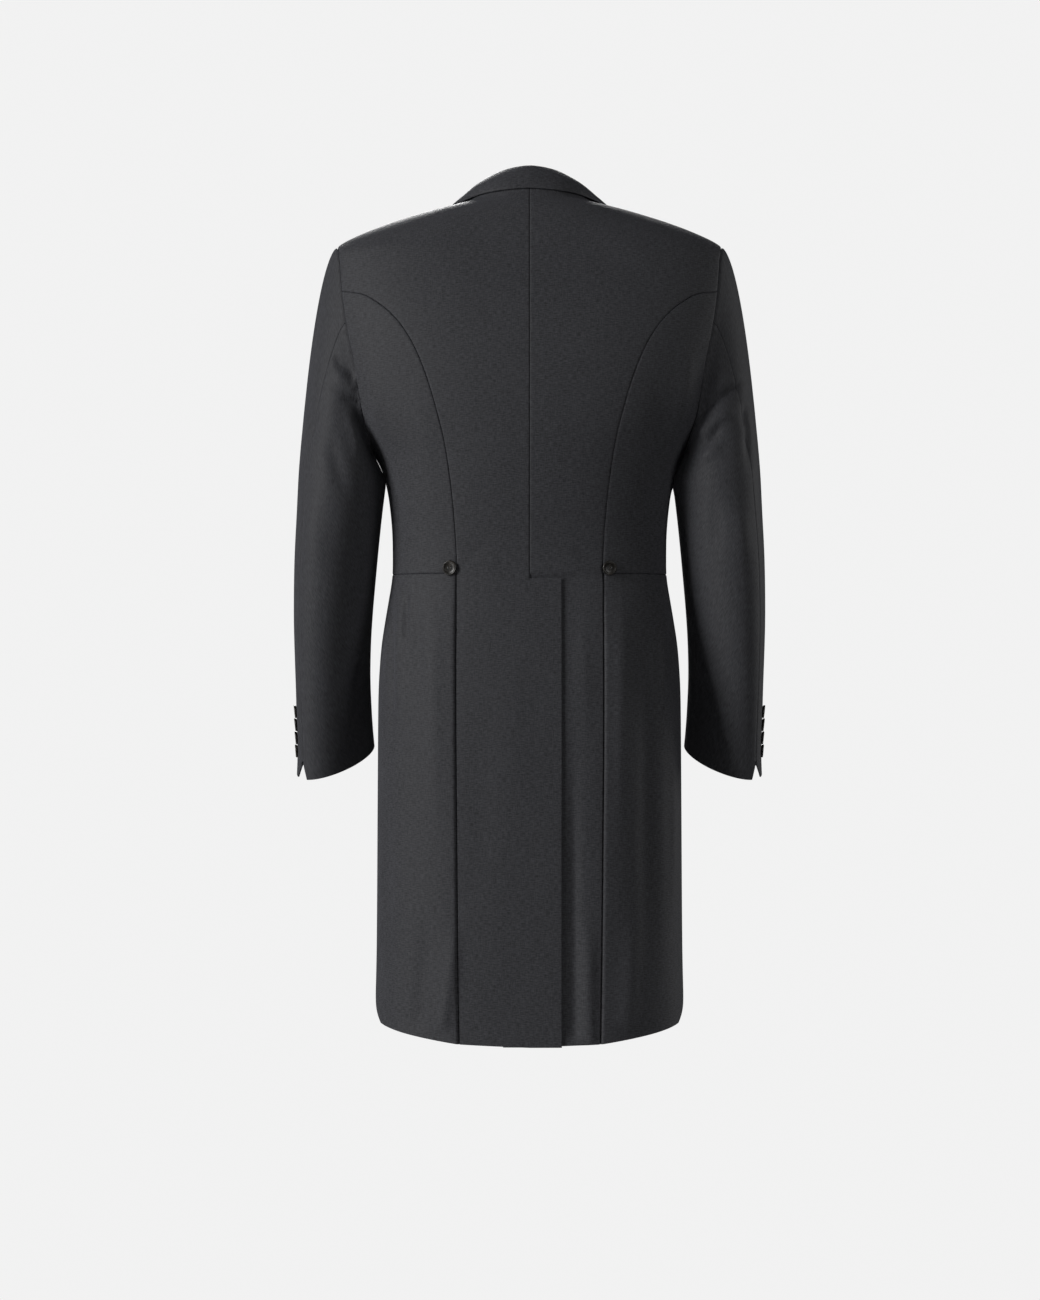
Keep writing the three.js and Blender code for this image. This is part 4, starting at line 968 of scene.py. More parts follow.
# Ahead, in the bend of both elbows
for side in (1, -1):
    fold(on_sleeve(False, (side * 186, -418), (side * 204, -438), (side * 236, -446)), -3.0, 6, 0.2, 0.5)
    fold(on_sleeve(False, (side * 184, -440), (side * 206, -462), (side * 240, -468)), 2.2, 6.5, 0.2, 0.5)
    fold(on_sleeve(False, (side * 184, -470), (side * 204, -488), (side * 230, -490)), -2.6, 6, 0.2, 0.5)
    fold(on_sleeve(False, (side * 262, -430), (side * 250, -452), (side * 226, -476)), -1.6, 7, 0.4, 0.4)
    fold(on_sleeve(False, (side * 205, -236), (side * 214, -262), (side * 226, -300)), -2.2, 8, 0.3, 0.5)
fold(on_sleeve(False, (220, -560), (226, -590), (228, -620)), 1.2, 8, 0.5, 0.5)
fold(on_sleeve(False, (-214, -520), (-222, -550), (-226, -590)), -1.4, 8, 0.5, 0.5)
print("folds", len(FOLDS))


# %% [markdown]
# ## Collar
#
# The collar is one strip folded along its length: a stand sewn to the neck, and a leaf that falls over it
# and hides the neck seam. It is built as a row of sections round the neck. Each section has an outer
# side and an inner side with the same number of points, so the two sides close into a strip of even
# thickness, and the fold is a rounded roll instead of a crease.

# %% Collar tables
RIDGE_ROW, COLLAR_WALL, COLLAR_FOLD, COLLAR_REST, COLLAR_SEAM = 4, 1.7, 4.2, 2.9, 0.8
COLLAR = columns(
    "row neck_x neck_z fold_x fold_y fold_z middle_x middle_y middle_z edge_x edge_z",
    (-1, -28, 16.4, -25.5, 38, 38, -30.5, 51.5, 26.5, -33, 9.3),
    (0, 0, 18, 0, 44, 41, 0, 57, 29, 0, 11.3),
    (1, 28, 16.4, 25.5, 38, 38, 30.5, 51.5, 26.5, 33, 9.3),
    (2, 50, 12, 45, 24.5, 31.7, 54.5, 38.5, 21.5, 54, 6.6),
    (3, 64, 7.6, 54.5, 12, 26.7, 67.5, 21, 17.5, 71, 2.4),
    (4, 72, 4, 59.5, -2, 20.7, 75, 0, 13.5, 89, -0.8),
    (5, 69, -9, 60.5, -24, 9.5, 80.2, -37, 0.3, 96, -12),
    (6, 64, -24, 58.5, -50.5, -9, 82.6, -58.1, -21.9, 105, -31),
)
COLLAR_CORNER = np.array([
    (54, -43, 4.6), (65, -49.5, 4.2), (76, -54.7, 4.2), (98, -65, 4.2), (108, -53, 4.2),
])
LEAF_SHARES = np.array([1, 0.94, 0.85, 0.75, 0.65, 0.55, 0.45, 0.35, 0.25, 0.15, 0.07, 0])
CROTCH_SHARE = 0.15


def lifted(x, z, behind, lift):
    """A point off the cloth and the way out there; behind is None on the ridge of the shoulder."""
    turn = float(SIDE) if behind is None else turn_of(x, z, behind)
    normal = outward(turn, z)
    return surface(turn, z) + normal * lift, normal


def leaf_points(row, shares):
    """The leaf's face at a row, from its fold, where the share is 0, to its edge."""
    at = {name: float(curve(COLLAR["row"], COLLAR[name])(row)) for name in COLLAR if name != "row"}
    behind = None if row == RIDGE_ROW else row < RIDGE_ROW
    edge, _ = lifted(at["edge_x"], at["edge_z"], behind, COLLAR_REST)
    seam_point, seam_normal = lifted(at["neck_x"], at["neck_z"], behind, 0)
    fold_at = np.array([at["fold_x"], at["fold_y"], at["fold_z"]])
    middle = np.array([at["middle_x"], at["middle_y"], at["middle_z"]])
    t = shares[:, None]
    leaf = 2 * (t - 0.5) * (t - 1) * fold_at + 4 * t * (1 - t) * middle + 2 * t * (t - 0.5) * edge
    return leaf, seam_point, seam_normal


def corner_points(shares):
    """The last section, along the gorge seam and round the collar's corner."""
    knots = np.linspace(0, 1, len(COLLAR_CORNER))
    x, z, lift = (np.interp(shares, knots, column) for column in COLLAR_CORNER.T)
    points = np.array([lifted(a, b, False, c)[0] for a, b, c in zip(x, z, lift)])
    seam_point, seam_normal = lifted(GORGE_X, GORGE_Z, False, 0)
    return points, seam_point, seam_normal


# %% Sections of the collar
ARC, STAND = 5, 7


def arc_over(start, start_way, end, end_way, reach):
    """Points of a roll from start to end, without either of them."""
    t = np.linspace(0, 1, ARC + 2)[1:-1, None]
    first, last = start + start_way * reach, end + end_way * reach
    return (1 - t) ** 3 * start + 3 * t * (1 - t) ** 2 * first + 3 * t ** 2 * (1 - t) * last + t ** 3 * end


def collar_section(leaf, seam_point, seam_normal, along_leaf, along_seam):
    """Outer and inner side of one section, each from the leaf's edge to the neck seam."""
    step = -np.gradient(leaf, axis=0)
    out = unit(np.cross(along_leaf, step))
    back = leaf - out * COLLAR_WALL
    up = unit(np.cross(along_seam, seam_normal))
    foot_out = seam_point + up * COLLAR_SEAM
    foot_in = foot_out - seam_normal * COLLAR_WALL
    top = leaf[-1] - out[-1] * COLLAR_FOLD
    rise, climb = unit(leaf[-1] - leaf[-2]), unit(top - foot_in)
    roll = arc_over(leaf[-1], rise, top, climb, 2.0)
    stand = mix(top, foot_in, np.linspace(0, 1, STAND)[:, None])
    outer = np.concatenate([leaf, roll, stand])
    flat = int(np.sum(LEAF_SHARES >= CROTCH_SHARE))
    hollow = mix(top + out[-1] * COLLAR_WALL, foot_out, 0.3)
    share = np.linspace(0, 1, len(outer) - flat + 1)[1:]
    rest = np.stack([np.interp(share, (0, 0.4, 1), c) for c in zip(back[flat - 1], hollow, foot_out)], -1)
    return outer, np.concatenate([back[:flat], rest])


def collar_sections():
    rows = np.arange(0, 6.01, 0.5)
    half = [leaf_points(row, LEAF_SHARES) for row in rows] + [corner_points(LEAF_SHARES)]
    whole = [tuple(part * FLIP for part in section) for section in half[:0:-1]] + half
    made = []
    for i, (leaf, seam_point, seam_normal) in enumerate(whole):
        before, after = whole[max(i - 1, 0)], whole[min(i + 1, len(whole) - 1)]
        along_leaf = after[0][4] - before[0][4]
        made.append(collar_section(leaf, seam_point, seam_normal, along_leaf, after[1] - before[1]))
    return np.array([outer for outer, _ in made]), np.array([inner for _, inner in made])


# %% Close the collar
def smoothed_rows(sections, count):
    flat = path(*sections.reshape(len(sections), -1))
    return flat(np.linspace(0, len(sections) - 1, count)).reshape(count, -1, 3)


def ring_faces(rings, size, cells):
    """Faces between rings of points, each with size points, over the cells named."""
    faces = []
    for i in range(rings - 1):
        for k in cells:
            a, b = i * size + k, i * size + (k + 1) % size
            faces.append([a, b, b + size, a + size])
    return faces


def collar(name, finish):
    outer, inner = collar_sections()
    count = 161
    outer, inner = smoothed_rows(outer, count), smoothed_rows(inner, count)
    edge_way = unit(outer[:, 0] - outer[:, 1])
    edge = (outer[:, 0] + inner[:, 0]) / 2 + edge_way * 0.5
    across, down = travelled(outer, 0), travelled(outer, 1)
    across -= across[count // 2]
    uv = np.stack([across, down], -1)
    loops = np.concatenate([outer, inner[:, ::-1], edge[:, None]], axis=1)
    uv = np.concatenate([uv, uv[:, ::-1], uv[:, :1]], axis=1) * MM
    size, side = loops.shape[1], outer.shape[1]
    skin = ring_faces(count, size, range(side - 1))
    wide, long = np.ptp(uv.reshape(-1, 2)[np.unique(skin)], axis=0)
    note_cut(name, loops.reshape(-1, 3), np.array(skin), wide, long)
    faces = ring_faces(count, size, range(size))
    ends = [[p, 2 * side - 1 - p, 2 * side - 2 - p, p + 1] for p in range(side - 1)]
    ends.append([0, size - 1, 2 * side - 1])
    for first, turned in ((0, False), ((count - 1) * size, True)):
        faces += [[first + k for k in (face[::-1] if turned else face)] for face in ends]
    return cloth_mesh(name, loops.reshape(-1, 3), faces, uv.reshape(-1, 2), finish)


# %% [markdown]
# ## Lapels
#
# A lapel isn't sewn on: it is the forepart itself, turned back along the roll line, so its edge there is a
# soft roll and not a cut. Here it is a panel of its own, which starts inside the forepart's edge, comes
# round it on half an oval, and only then runs flat over the chest.

# %% Lapel panels
LAPEL = columns(
    "roll x z",
    (-45, 134, -42), (-90, 129, -92), (-135, 119.5, -140), (-180, 107, -186), (-225, 91.5, -232),
    (-270, 73, -277), (-310, 53, -316), (-345, 28, -349), (-372, -8, -374),
)
GORGE = np.array([(54, -45), (76, -55.5), (98, -66), (116, -54), (134, -42)])
LAPEL_LIFT, LAPEL_TRIM, ROLL_BULGE = 3, 4, 1.3


def lapel_place(roll, share, over):
    """Distance from the middle and height on the lapel."""
    x_at, z_at = (float(curve(LAPEL["roll"], LAPEL[c])(min(roll, -90))) for c in "xz")
    low = min(roll, -90)
    edge = front_edge_x(low)
    start = edge if over else max(edge, LAPEL_TRIM - edge)
    place = mix(np.array([start, low]), np.array([max(x_at, start + LAPEL_TRIM), z_at]), share[:, None])
    if roll <= -90:
        return place
    knots = np.linspace(0, 1, len(GORGE))
    gorge = np.stack([np.interp(share, knots, column) for column in GORGE.T], -1)
    return mix(gorge, place, (-45 - roll) / 45)


def lapel(name, over, finish):
    shares = np.unique(np.r_[np.linspace(0, 1, 41), 0.012, 0.03, 0.97, 0.99])
    rolls = np.r_[np.linspace(-45, -90, 30), np.linspace(-90, -372, 130)[1:]]
    grid = np.array([lapel_place(roll, shares, over) for roll in rolls])
    x, z = grid[..., 0], grid[..., 1]
    turn = turn_of(x, z, False)
    normals = outward(turn, z)
    body = surface(turn, z) + normals * front_step(x, z, over)[..., None]
    face = body + normals * LAPEL_LIFT
    rim, way = normals[:, 0], unit(body[:, 0] - body[:, 1])
    centre = body[:, 0] + rim * (LAPEL_LIFT - CLOTH) / 2
    roll_points, roll_normals = [], []
    for angle in np.radians(np.linspace(-62, 78, 8)):
        height = (LAPEL_LIFT + CLOTH) / 2
        roll_points.append(centre + rim * height * math.sin(angle) + way * ROLL_BULGE * math.cos(angle))
        roll_normals.append(unit(rim * math.sin(angle) / height + way * math.cos(angle) / ROLL_BULGE))
    points = np.concatenate([np.stack(roll_points, 1), face], axis=1)
    normals = np.concatenate([np.stack(roll_normals, 1), normals], axis=1)
    across = travelled(points, 1)
    uv = np.stack([across, np.broadcast_to(z[:, :1], across.shape)], -1) * MM
    if not over:
        points, normals, uv = points * FLIP, normals * FLIP, uv * [-1, 1]
    return shell(name, points, normals, uv, finish=finish)


# %% [markdown]
# ## Buttons
#
# Horn buttons are turned on a lathe: a raised rim, a dished middle, four drilled holes. One button is
# turned here with a radius and a height of 1, as a profile spun round its axis, and the holes are cut out
# of it with a boolean. Geometry Nodes then sets copies of it on points, each facing out of the cloth, and
# the copies become one plain mesh, because the library keeps no instances.

# %% Turn one button
BUTTON_PROFILE = np.array([
    (0, 0), (0.3, 0), (0.6, 0), (0.74, 0.02), (0.88, 0.13), (0.965, 0.3), (1, 0.5), (1, 0.68),
    (0.975, 0.86), (0.93, 0.97), (0.87, 1), (0.81, 0.985), (0.765, 0.93), (0.72, 0.83), (0.66, 0.75),
    (0.55, 0.69), (0.4, 0.655),
    (0.3, 0.65), (0.2, 0.65), (0, 0.65),
])
BUTTON_SIDES = 40
HOLE_OFFSET, HOLE_RADIUS, HOLE_SIDES = 0.215, 0.105, 12


def plain_mesh(name, vertices, faces):
    mesh = bpy.data.meshes.new(name)
    mesh.from_pydata([tuple(v) for v in vertices], [], faces)
    mesh.update()
    return linked(name, mesh)


def joined(parts):
    """Several sets of vertices and faces as one."""
    vertices, faces = [], []
    for more, more_faces in parts:
        faces += [[k + len(vertices) for k in face] for face in more_faces]
        vertices += more
    return vertices, faces


def spun(profile, sides):
    """Vertices and faces of a profile spun round the z axis."""
    turn = np.arange(sides) * 2 * math.pi / sides
    ring = np.stack([np.cos(turn), np.sin(turn)], -1)
    vertices, faces = [(0, 0, profile[0][1])], []
    for radius, height in profile[1:-1]:
        vertices += [(radius * x, radius * y, height) for x, y in ring]
    vertices.append((0, 0, profile[-1][1]))
    last, levels = len(vertices) - 1, len(profile) - 2
    for k in range(sides):
        n = (k + 1) % sides
        faces.append([0, 1 + n, 1 + k])
        for level in range(levels - 1):
            low, high = 1 + level * sides, 1 + (level + 1) * sides
            faces.append([low + k, low + n, high + n, high + k])
        top = 1 + (levels - 1) * sides
        faces.append([top + k, top + n, last])
    return vertices, faces


def plain_copy(piece, name):
    """The evaluated object as a plain mesh object, and the first one gone."""
    graph = bpy.context.evaluated_depsgraph_get()
    mesh = bpy.data.meshes.new_from_object(piece.evaluated_get(graph))
    mesh.name = name
    bpy.data.objects.remove(piece)
    return linked(name, mesh)


def turned_button():
    disc = plain_mesh("disc", *spun(BUTTON_PROFILE, BUTTON_SIDES))
    drill = [(0, -0.5), (HOLE_RADIUS, -0.5), (HOLE_RADIUS, 1.5), (0, 1.5)]
    hole, hole_faces = spun(drill, HOLE_SIDES)
    offsets = [np.array([across, along, 0]) * HOLE_OFFSET for across in (-1, 1) for along in (-1, 1)]
    holes = [([np.array(v) + offset for v in hole], hole_faces) for offset in offsets]
    drills = plain_mesh("drills", *joined(holes))
    cut = disc.modifiers.new("holes", "BOOLEAN")
    cut.operation, cut.object, cut.solver = "DIFFERENCE", drills, "EXACT"
    button = plain_copy(disc, "turned_button")
    bpy.data.objects.remove(drills)
    button.data.shade_smooth()
    button.data.set_sharp_from_angle(angle=math.radians(50))
    return button


def arch(start, end, rise, thick, bends=7, sides=6):
    """A thread that goes up over a gap: a tube bent into an arch, with closed ends."""
    share = np.linspace(0, 1, bends)
    middle = mix(np.array(start, float), np.array(end, float), share[:, None])
    middle[:, 2] += rise * np.sin(math.pi * share)
    along = unit(np.gradient(middle, axis=0))
    aside = unit(np.cross(along, [0, 0, 1]))
    up = np.cross(aside, along)
    vertices = []
    for point, side_way, up_way in zip(middle, aside, up):
        for k in range(sides):
            angle = 2 * math.pi * k / sides
            vertices.append(point + thick * (side_way * math.cos(angle) + up_way * math.sin(angle)))
    faces = ring_faces(bends, sides, range(sides))
    faces += [list(range(sides))[::-1], [(bends - 1) * sides + k for k in range(sides)]]
    return vertices, faces


def sewn_bars():
    """Two doubled threads across a button's holes, for a button with a radius and a height of 1."""
    places = [across * HOLE_OFFSET + apart for across in (-1, 1) for apart in (-0.045, 0.045)]
    bars = [arch((x, -HOLE_OFFSET, 0.5), (x, HOLE_OFFSET, 0.5), 0.3, 0.05) for x in places]
    piece = plain_mesh("sewn_bars", *joined(bars))
    piece.data.shade_smooth()
    return piece


# %% A tree that sets a shape on points
def on_points_tree():
    tree = bpy.data.node_groups.new("set_on_points", "GeometryNodeTree")
    for name, kind, way in (
        ("Points", "Geometry", "INPUT"), ("Shape", "Object", "INPUT"), ("Size", "Vector", "INPUT"),
        ("Finish", "Material", "INPUT"), ("Geometry", "Geometry", "OUTPUT"),
    ):
        tree.interface.new_socket(name, in_out=way, socket_type=f"NodeSocket{kind}")

    def node(kind, **settings):
        made = tree.nodes.new(kind)
        for key, value in settings.items():
            setattr(made, key, value)
        return made

    given, result = node("NodeGroupInput"), node("NodeGroupOutput")
    shape, copies = node("GeometryNodeObjectInfo"), node("GeometryNodeInstanceOnPoints")
    facing, along = (node("GeometryNodeInputNamedAttribute", data_type="FLOAT_VECTOR") for _ in range(2))
    facing.inputs["Name"].default_value, along.inputs["Name"].default_value = "facing", "along"
    turn = node("FunctionNodeAxesToRotation", primary_axis="Z", secondary_axis="Y")
    plain, painted = node("GeometryNodeRealizeInstances"), node("GeometryNodeSetMaterial")
    for start, end in (
        (given.outputs["Shape"], shape.inputs["Object"]),
        (given.outputs["Points"], copies.inputs["Points"]),
        (shape.outputs["Geometry"], copies.inputs["Instance"]), (facing.outputs[0], turn.inputs[0]),
        (along.outputs[0], turn.inputs[1]), (turn.outputs[0], copies.inputs["Rotation"]),
        (given.outputs["Size"], copies.inputs["Scale"]), (copies.outputs[0], plain.inputs[0]),
        (plain.outputs[0], painted.inputs["Geometry"]),
        (given.outputs["Finish"], painted.inputs["Material"]),
        (painted.outputs[0], result.inputs["Geometry"]),
    ):
        tree.links.new(start, end)
    return tree


SET_ON_POINTS = on_points_tree()


def set_on_points(name, shape, places, size, finish):
    """Copies of a shape at (point, way out, way along) places, in one plain mesh."""
    points, facing, along = (np.array(column, float).reshape(-1, 3) for column in zip(*places))
    carrier = plain_mesh(name + "_points", points * MM, [])
    for key, values in (("facing", facing), ("along", along)):
        attribute = carrier.data.attributes.new(key, "FLOAT_VECTOR", "POINT")
        attribute.data.foreach_set("vector", values.astype(np.float32).ravel())
    setting = carrier.modifiers.new("copies", "NODES")
    setting.node_group = SET_ON_POINTS
    given = {"Shape": shape, "Size": tuple(v * MM for v in size), "Finish": finish}
    for item in SET_ON_POINTS.interface.items_tree:
        if item.name in given:
            setting[item.identifier] = given[item.name]
    made = plain_copy(carrier, name)
    print(name, len(places), "copies,", len(made.data.polygons), "faces")
    return made


# %% Where the buttons sit
BUTTON_CLEARANCE = 0.4
WAIST_BUTTON, FRONT_BUTTON, CUFF_BUTTON = (8.5, 3.6), (10, 3.8), (7.6, 3)       # radius and height
WAIST_BUTTON_X, WAIST_BUTTON_Z, FRONT_BUTTON_Z = 90, -421, -398
CUFF_PITCH, CUFF_TOP, CUFF_COUNT, CUFF_INSET = 15.25, -586, 4, 29
CUFF_CLEARANCE, CUFF_TILT = -0.5, 0.08


def on_cloth(turn, z, lift):
    normal = outward(turn, z)
    return surface(turn, z) + normal * lift, normal, unit(surface(turn, z + 2) - surface(turn, z - 2))


def cuff_place(index):
    height = CUFF_TOP - index * CUFF_PITCH
    at = lambda level: arm["hindarm"](level) - CUFF_INSET
    level = 2 * height - hanging(at(height), height)[2]
    turn = at(level)
    round_it = hanging(turn + 2, level) - hanging(turn - 2, level)
    down = hanging(turn, level - 3) - hanging(turn, level + 3)
    normal = unit(np.cross(down, round_it))
    facing = unit(normal + CUFF_TILT * unit(down))
    return hanging(turn, level) + normal * CUFF_CLEARANCE, facing, -unit(down)


def mirrored_places(places):
    return [tuple(np.array(part) * FLIP for part in place) for place in places]


WAIST_PLACE = on_cloth(
    float(turn_of(WAIST_BUTTON_X, WAIST_BUTTON_Z, True)), WAIST_BUTTON_Z, BUTTON_CLEARANCE,
)
FRONT_PLACE = on_cloth(180.0, FRONT_BUTTON_Z, LAP / 2 + BUTTON_CLEARANCE)
CUFF_PLACES = [cuff_place(index) for index in range(CUFF_COUNT)]
BUTTONS = [
    ("waist_button_left", [WAIST_PLACE], WAIST_BUTTON, ["waist_button_left"]),
    ("waist_button_right", mirrored_places([WAIST_PLACE]), WAIST_BUTTON, ["waist_button_right"]),
    ("front_button", [FRONT_PLACE], FRONT_BUTTON, ["front_button"]),
    ("cuff_buttons_left", CUFF_PLACES, CUFF_BUTTON,
     [f"cuff_button_left_{k + 1}" for k in range(CUFF_COUNT)]),
    ("cuff_buttons_right", mirrored_places(CUFF_PLACES), CUFF_BUTTON,
     [f"cuff_button_right_{k + 1}" for k in range(CUFF_COUNT)]),
]

# %% [markdown]
# ## The front buttonhole
#
# The one buttonhole that the coat needs is worked by hand: close purl stitches down both sides of the cut
# and a bar at its end. Half of it hides under the button. The stitches are one small arch of thread, set
# on points along the cut.

# %% Buttonhole stitches
HOLE_START, HOLE_END, HOLE_Z = -1.0, 22.0, FRONT_BUTTON_Z
STITCH_PITCH, STITCH_LENGTH = 0.62, 1.9


def buttonhole_places():
    places = []
    for side in (-1, 1):
        for x in np.arange(HOLE_START, HOLE_END, STITCH_PITCH):
            turn = float(turn_of(x, HOLE_Z, False))
            point, normal, up = on_cloth(turn, HOLE_Z + side * (STITCH_LENGTH / 2 + 0.15), LAP / 2 + 0.12)
            places.append((point, normal, up))
    for z in np.linspace(-1.7, 1.7, 6):
        turn = float(turn_of(HOLE_END + 0.6, HOLE_Z, False))
        point, normal, up = on_cloth(turn, HOLE_Z + z, LAP / 2 + 0.15)
        places.append((point, normal, np.cross(normal, up)))
    return places


# %% [markdown]
# ## Worsted
#
# Suiting worsted is woven from fine combed yarn, about seventeen threads to the centimetre, a dark one
# and a slightly paler one turn about. From a step away the threads run together, and what is left is a
# faint cross-hatch of slubs and a low, even sheen. The material follows the thread counts: noise drawn
# out along the warp and along the weft, with the weave itself in the bump.

# %% Shader maths
class Value:
    """A socket that takes part in Python sums."""

    def __init__(self, nodes, socket):
        self.nodes, self.socket = nodes, socket

    def math(self, operation, *others):
        return self.nodes.add("ShaderNodeMath", {"operation": operation}, dict(enumerate((self, *others))))

    def __add__(self, other):
        return self.math("ADD", other)

    def __sub__(self, other):
        return self.math("SUBTRACT", other)

    def __mul__(self, other):
        return self.math("MULTIPLY", other)

    __radd__ = __add__


class Nodes:
    """The node tree of one material."""

    def __init__(self, name):
        self.material = bpy.data.materials.new(name)
        self.material.use_nodes = True
        self.tree = self.material.node_tree
        self.tree.nodes.clear()

    def add(self, kind, settings=None, values=None, out=0):
        node = self.tree.nodes.new(kind)
        for key, value in (settings or {}).items():
            if key == "stops":
                ramp = node.color_ramp.elements
                while len(ramp) < len(value):
                    ramp.new(0.5)
                for stop, (place, shade) in zip(ramp, value):
                    stop.position, stop.color = place, shade
            else:
                setattr(node, key, value)
        for key, value in (values or {}).items():
            if isinstance(value, Value):
                self.tree.links.new(value.socket, node.inputs[key])
            else:
                node.inputs[key].default_value = value
        return Value(self, node.outputs[out])

    def blend(self, share, first, second):
        return self.add(
            "ShaderNodeMix", {"data_type": "RGBA"}, {0: share, 6: first, 7: second}, out=2,
        )

    def finish(self, surface):
        output = self.tree.nodes.new("ShaderNodeOutputMaterial")
        self.tree.links.new(surface.socket, output.inputs["Surface"])
        return self.material


def grey(value, tint=(1, 1, 1)):
    return tuple(value * t for t in tint) + (1,)


# %% Suiting
CHARCOAL, THREAD_PITCH = 0.046, 0.0006


def suiting(name):
    nodes = Nodes(name)
    thread = nodes.add("ShaderNodeUVMap", {"uv_map": "thread"})
    parts = nodes.tree.nodes.new("ShaderNodeSeparateXYZ")
    nodes.tree.links.new(thread.socket, parts.inputs[0])
    u, v = Value(nodes, parts.outputs[0]), Value(nodes, parts.outputs[1])

    def slubs(across, along, detail=2.0):
        """Noise drawn out along one set of threads, from 0 to 1."""
        place = nodes.add("ShaderNodeCombineXYZ", {}, {0: u * across, 1: v * along, 2: 0.0})
        return nodes.add("ShaderNodeTexNoise", {}, {"Vector": place, "Scale": 1.0, "Detail": detail})

    warp = slubs(1400, 60)
    weft = slubs(60, 1300)
    thick_weft = slubs(190, 1000)
    thick_warp = slubs(1000, 170)
    cloud = slubs(22, 16, 3.0)
    hatch = (warp + weft) * 0.5
    slub_tone = (hatch - 0.5) * 1.5 + (thick_weft - 0.5) * 2.4 + (thick_warp - 0.5) * 1.3
    tone = slub_tone + (cloud - 0.5) * 0.25 + 0.5
    dark = grey(CHARCOAL * 0.62, (0.96, 0.97, 1.07))
    pale = grey(CHARCOAL * 1.45, (0.96, 0.97, 1.08))
    colour = nodes.blend(tone, dark, pale)
    pitch = 2 * math.pi / THREAD_PITCH
    ribs = (u * pitch).math("SINE") * (v * pitch).math("SINE")
    height = ribs * 0.35 + hatch
    normal = nodes.add("ShaderNodeBump", {}, {"Height": height, "Strength": 0.22, "Distance": 0.0004})
    rough = 0.62 + (cloud - 0.5) * 0.12
    cloth = nodes.add("ShaderNodeBsdfPrincipled", {}, {
        "Base Color": colour, "Roughness": rough, "Normal": normal, "Specular IOR Level": 0.2,
        "Diffuse Roughness": 1.0,
    })
    return nodes.finish(cloth)


worsted = suiting("charcoal_worsted")
print("worsted", len(worsted.node_tree.nodes), "nodes")

# %% [markdown]
# ## Horn and thread
#
# Black horn isn't one colour: brown and grey streaks run through it, and polish leaves it a little uneven.
# The thread is dark polyester with a twist that shows as fine slanted ribs.

# %% Horn and thread
def horn(name):
    nodes = Nodes(name)
    place = nodes.add("ShaderNodeTexCoord", out=3)
    long_way = nodes.add("ShaderNodeMapping", {}, {"Vector": place, "Scale": (260.0, 260.0, 60.0)})
    streak = nodes.add("ShaderNodeTexNoise", {}, {"Vector": long_way, "Scale": 1.0, "Detail": 4.0})
    wear = nodes.add("ShaderNodeTexNoise", {}, {"Vector": place, "Scale": 900.0, "Detail": 3.0})
    colour = nodes.add("ShaderNodeValToRGB", {"stops": (
        (0.3, grey(0.006, (1, 0.9, 0.78))), (0.55, grey(0.013, (1, 0.86, 0.68))),
        (0.8, grey(0.035, (1, 0.84, 0.64))),
    )}, {"Fac": streak})
    rough = 0.26 + wear * 0.16
    normal = nodes.add("ShaderNodeBump", {}, {"Height": wear, "Strength": 0.08, "Distance": 0.0004})
    return nodes.finish(nodes.add("ShaderNodeBsdfPrincipled", {}, {
        "Base Color": colour, "Roughness": rough, "Normal": normal, "Specular IOR Level": 0.4,
    }))


def sewing_thread(name):
    nodes = Nodes(name)
    place = nodes.add("ShaderNodeTexCoord", out=3)
    twist = nodes.add(
        "ShaderNodeTexWave", {"bands_direction": "DIAGONAL"}, {"Vector": place, "Scale": 1500.0},
    )
    colour = nodes.blend(twist, grey(0.012), grey(0.05))
    normal = nodes.add("ShaderNodeBump", {}, {"Height": twist, "Strength": 0.4, "Distance": 0.0002})
    return nodes.finish(nodes.add("ShaderNodeBsdfPrincipled", {}, {
        "Base Color": colour, "Roughness": 0.55, "Normal": normal, "Sheen Weight": 0.2,
    }))


def studio_floor(name):
    nodes = Nodes(name)
    place = nodes.add("ShaderNodeTexCoord", out=3)
    mottle = nodes.add("ShaderNodeTexNoise", {}, {"Vector": place, "Scale": 6.0, "Detail": 5.0})
    colour = nodes.blend(mottle, grey(0.72), grey(0.8))
    return nodes.finish(nodes.add("ShaderNodeBsdfPrincipled", {}, {"Base Color": colour, "Roughness": 0.8}))


black_horn, dark_thread = horn("black_horn"), sewing_thread("dark_thread")

# %% Make the panels
pieces = [
    back("back_left_cloth", True, worsted), back("back_right_cloth", False, worsted),
    side_body("side_body_left_cloth", False, worsted), side_body("side_body_right_cloth", True, worsted),
    forepart("forepart_left_cloth", True, worsted), forepart("forepart_right_cloth", False, worsted),
    skirt("skirt_left_cloth", True, worsted), skirt("skirt_right_cloth", False, worsted),
    *sleeve("left", False, worsted), *sleeve("right", True, worsted),
    collar("collar_cloth", worsted),
    lapel("lapel_left_cloth", True, worsted), lapel("lapel_right_cloth", False, worsted),
]

# %% Make the buttons
one_button, bars, stitch = turned_button(), sewn_bars(), plain_mesh("stitch", *arch(
    (0, -0.5, 0), (0, 0.5, 0), 0.35, 0.17,
))
stitch.data.shade_smooth()
buttons, threads = {}, []
for name, places, (radius, height), nodes_replaced in BUTTONS:
    size = (radius, radius, height)
    buttons[set_on_points(name + "_horn", one_button, places, size, black_horn)] = nodes_replaced
    threads.append(set_on_points(name + "_thread", bars, places, size, dark_thread))
threads.append(set_on_points(
    "front_buttonhole_thread", stitch, buttonhole_places(), (STITCH_LENGTH, STITCH_LENGTH, 1.0),
    dark_thread,
))
for shape in (one_button, bars, stitch):
    bpy.data.objects.remove(shape)

# %% Camera and light
def aimed(name, data, place, target):
    obj = linked(name, data)
    obj.location = place
    way = Vector(target) - Vector(place)
    obj.rotation_mode = "QUATERNION"
    obj.rotation_quaternion = way.to_track_quat("-Z", "Y")
    return obj


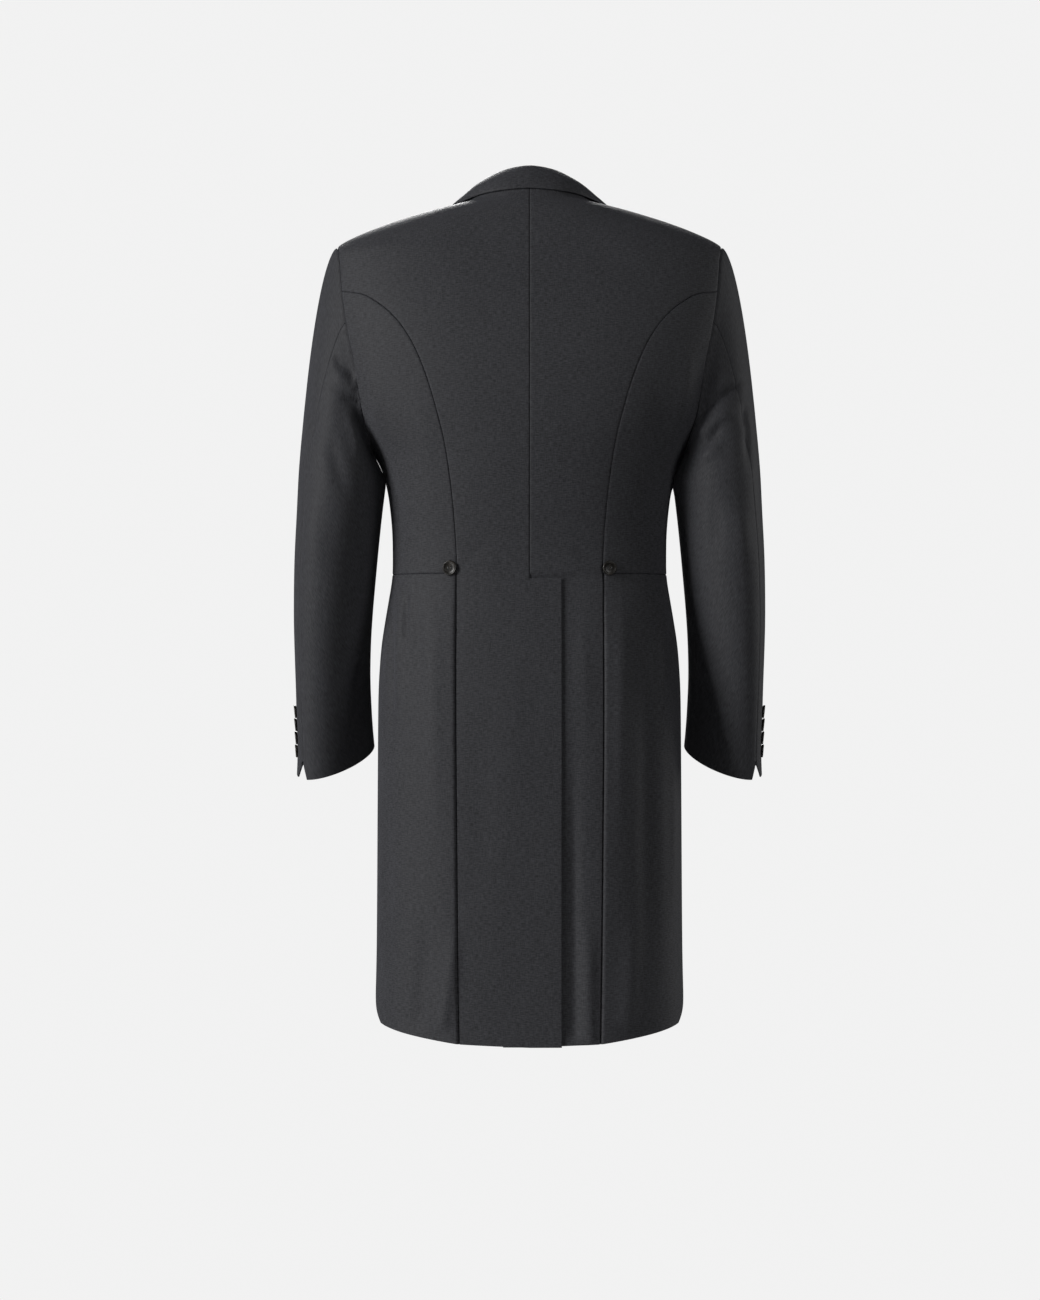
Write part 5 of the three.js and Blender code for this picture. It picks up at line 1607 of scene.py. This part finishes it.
CAMERA_DISTANCE, CAMERA_X, CAMERA_Z = 3.4, 0.011, -0.514
VIEW_HEIGHT, SENSOR = 1.508, 36         # metres from top to bottom at the coat, and millimetres
lens = bpy.data.cameras.new("camera")
lens.sensor_width, lens.lens = SENSOR, SENSOR * CAMERA_DISTANCE / VIEW_HEIGHT
camera = aimed("camera", lens, (CAMERA_X, CAMERA_DISTANCE, CAMERA_Z), (CAMERA_X, 0, CAMERA_Z))
bpy.context.scene.camera = camera


# %% Lamps
AIM = Vector((0, 0, -0.45))
LAMPS = columns(
    "azimuth height distance wide tall watts",
    (60, 20, 3.0, 0.9, 1.5, 77), (60, -20, 3.0, 0.9, 1.5, 24), (0, 20, 3.0, 0.9, 1.5, 6),
    (-50, 20, 3.0, 0.9, 1.5, 17), (-100, 20, 3.0, 0.9, 1.5, 9), (-115, 0, 3.0, 0.9, 1.5, 14),
    (176, 32, 3.2, 0.7, 1.4, 90),
)
for azimuth, height, distance, wide, tall, watts in zip(*LAMPS.values()):
    across, rise = math.radians(azimuth), math.radians(height)
    way = Vector((math.sin(across) * math.cos(rise), math.cos(across) * math.cos(rise), math.sin(rise)))
    light = bpy.data.lights.new("lamp", "AREA")
    light.shape, light.size, light.size_y, light.energy = "RECTANGLE", wide, tall, watts
    aimed("lamp", light, AIM + way * distance, AIM)

# %% Studio and floor
FILL, BACKDROP = 0.003, 0.885           # how bright the world is to the coat and to the camera
world = bpy.data.worlds.new("studio")
bpy.context.scene.world = world
world.use_nodes = True
sky = world.node_tree
ray = sky.nodes.new("ShaderNodeLightPath")
shade = sky.nodes.new("ShaderNodeMix")
shade.inputs[2].default_value, shade.inputs[3].default_value = FILL, BACKDROP
sky.links.new(ray.outputs["Is Camera Ray"], shade.inputs[0])
sky.links.new(shade.outputs[0], sky.nodes["Background"].inputs["Strength"])
sky.nodes["Background"].inputs["Color"].default_value = (1, 1, 1, 1)
bpy.context.scene.view_settings.view_transform = "Standard"

FLOOR_Z, FLOOR_RADIUS, FLOOR_DEPTH = -1.5, 1.0, 0.02
floor_profile = [
    (0, FLOOR_Z - FLOOR_DEPTH), (FLOOR_RADIUS, FLOOR_Z - FLOOR_DEPTH), (FLOOR_RADIUS, FLOOR_Z),
    (FLOOR_RADIUS * 0.6, FLOOR_Z), (0, FLOOR_Z),
]
floor = plain_mesh("floor", *spun(floor_profile, 96))
floor.data.materials.append(studio_floor("pale_floor"))

# %% Hang the pieces on the root and hide the parts they replace
for piece in pieces:
    node = piece.name.removesuffix("_cloth")
    wide, long, area = CUTS[piece.name]
    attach(piece, "root")
    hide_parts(node)
for piece, nodes_replaced in buttons.items():
    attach(piece, "root")
    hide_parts(*nodes_replaced)
for piece in threads:
    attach(piece, "root")
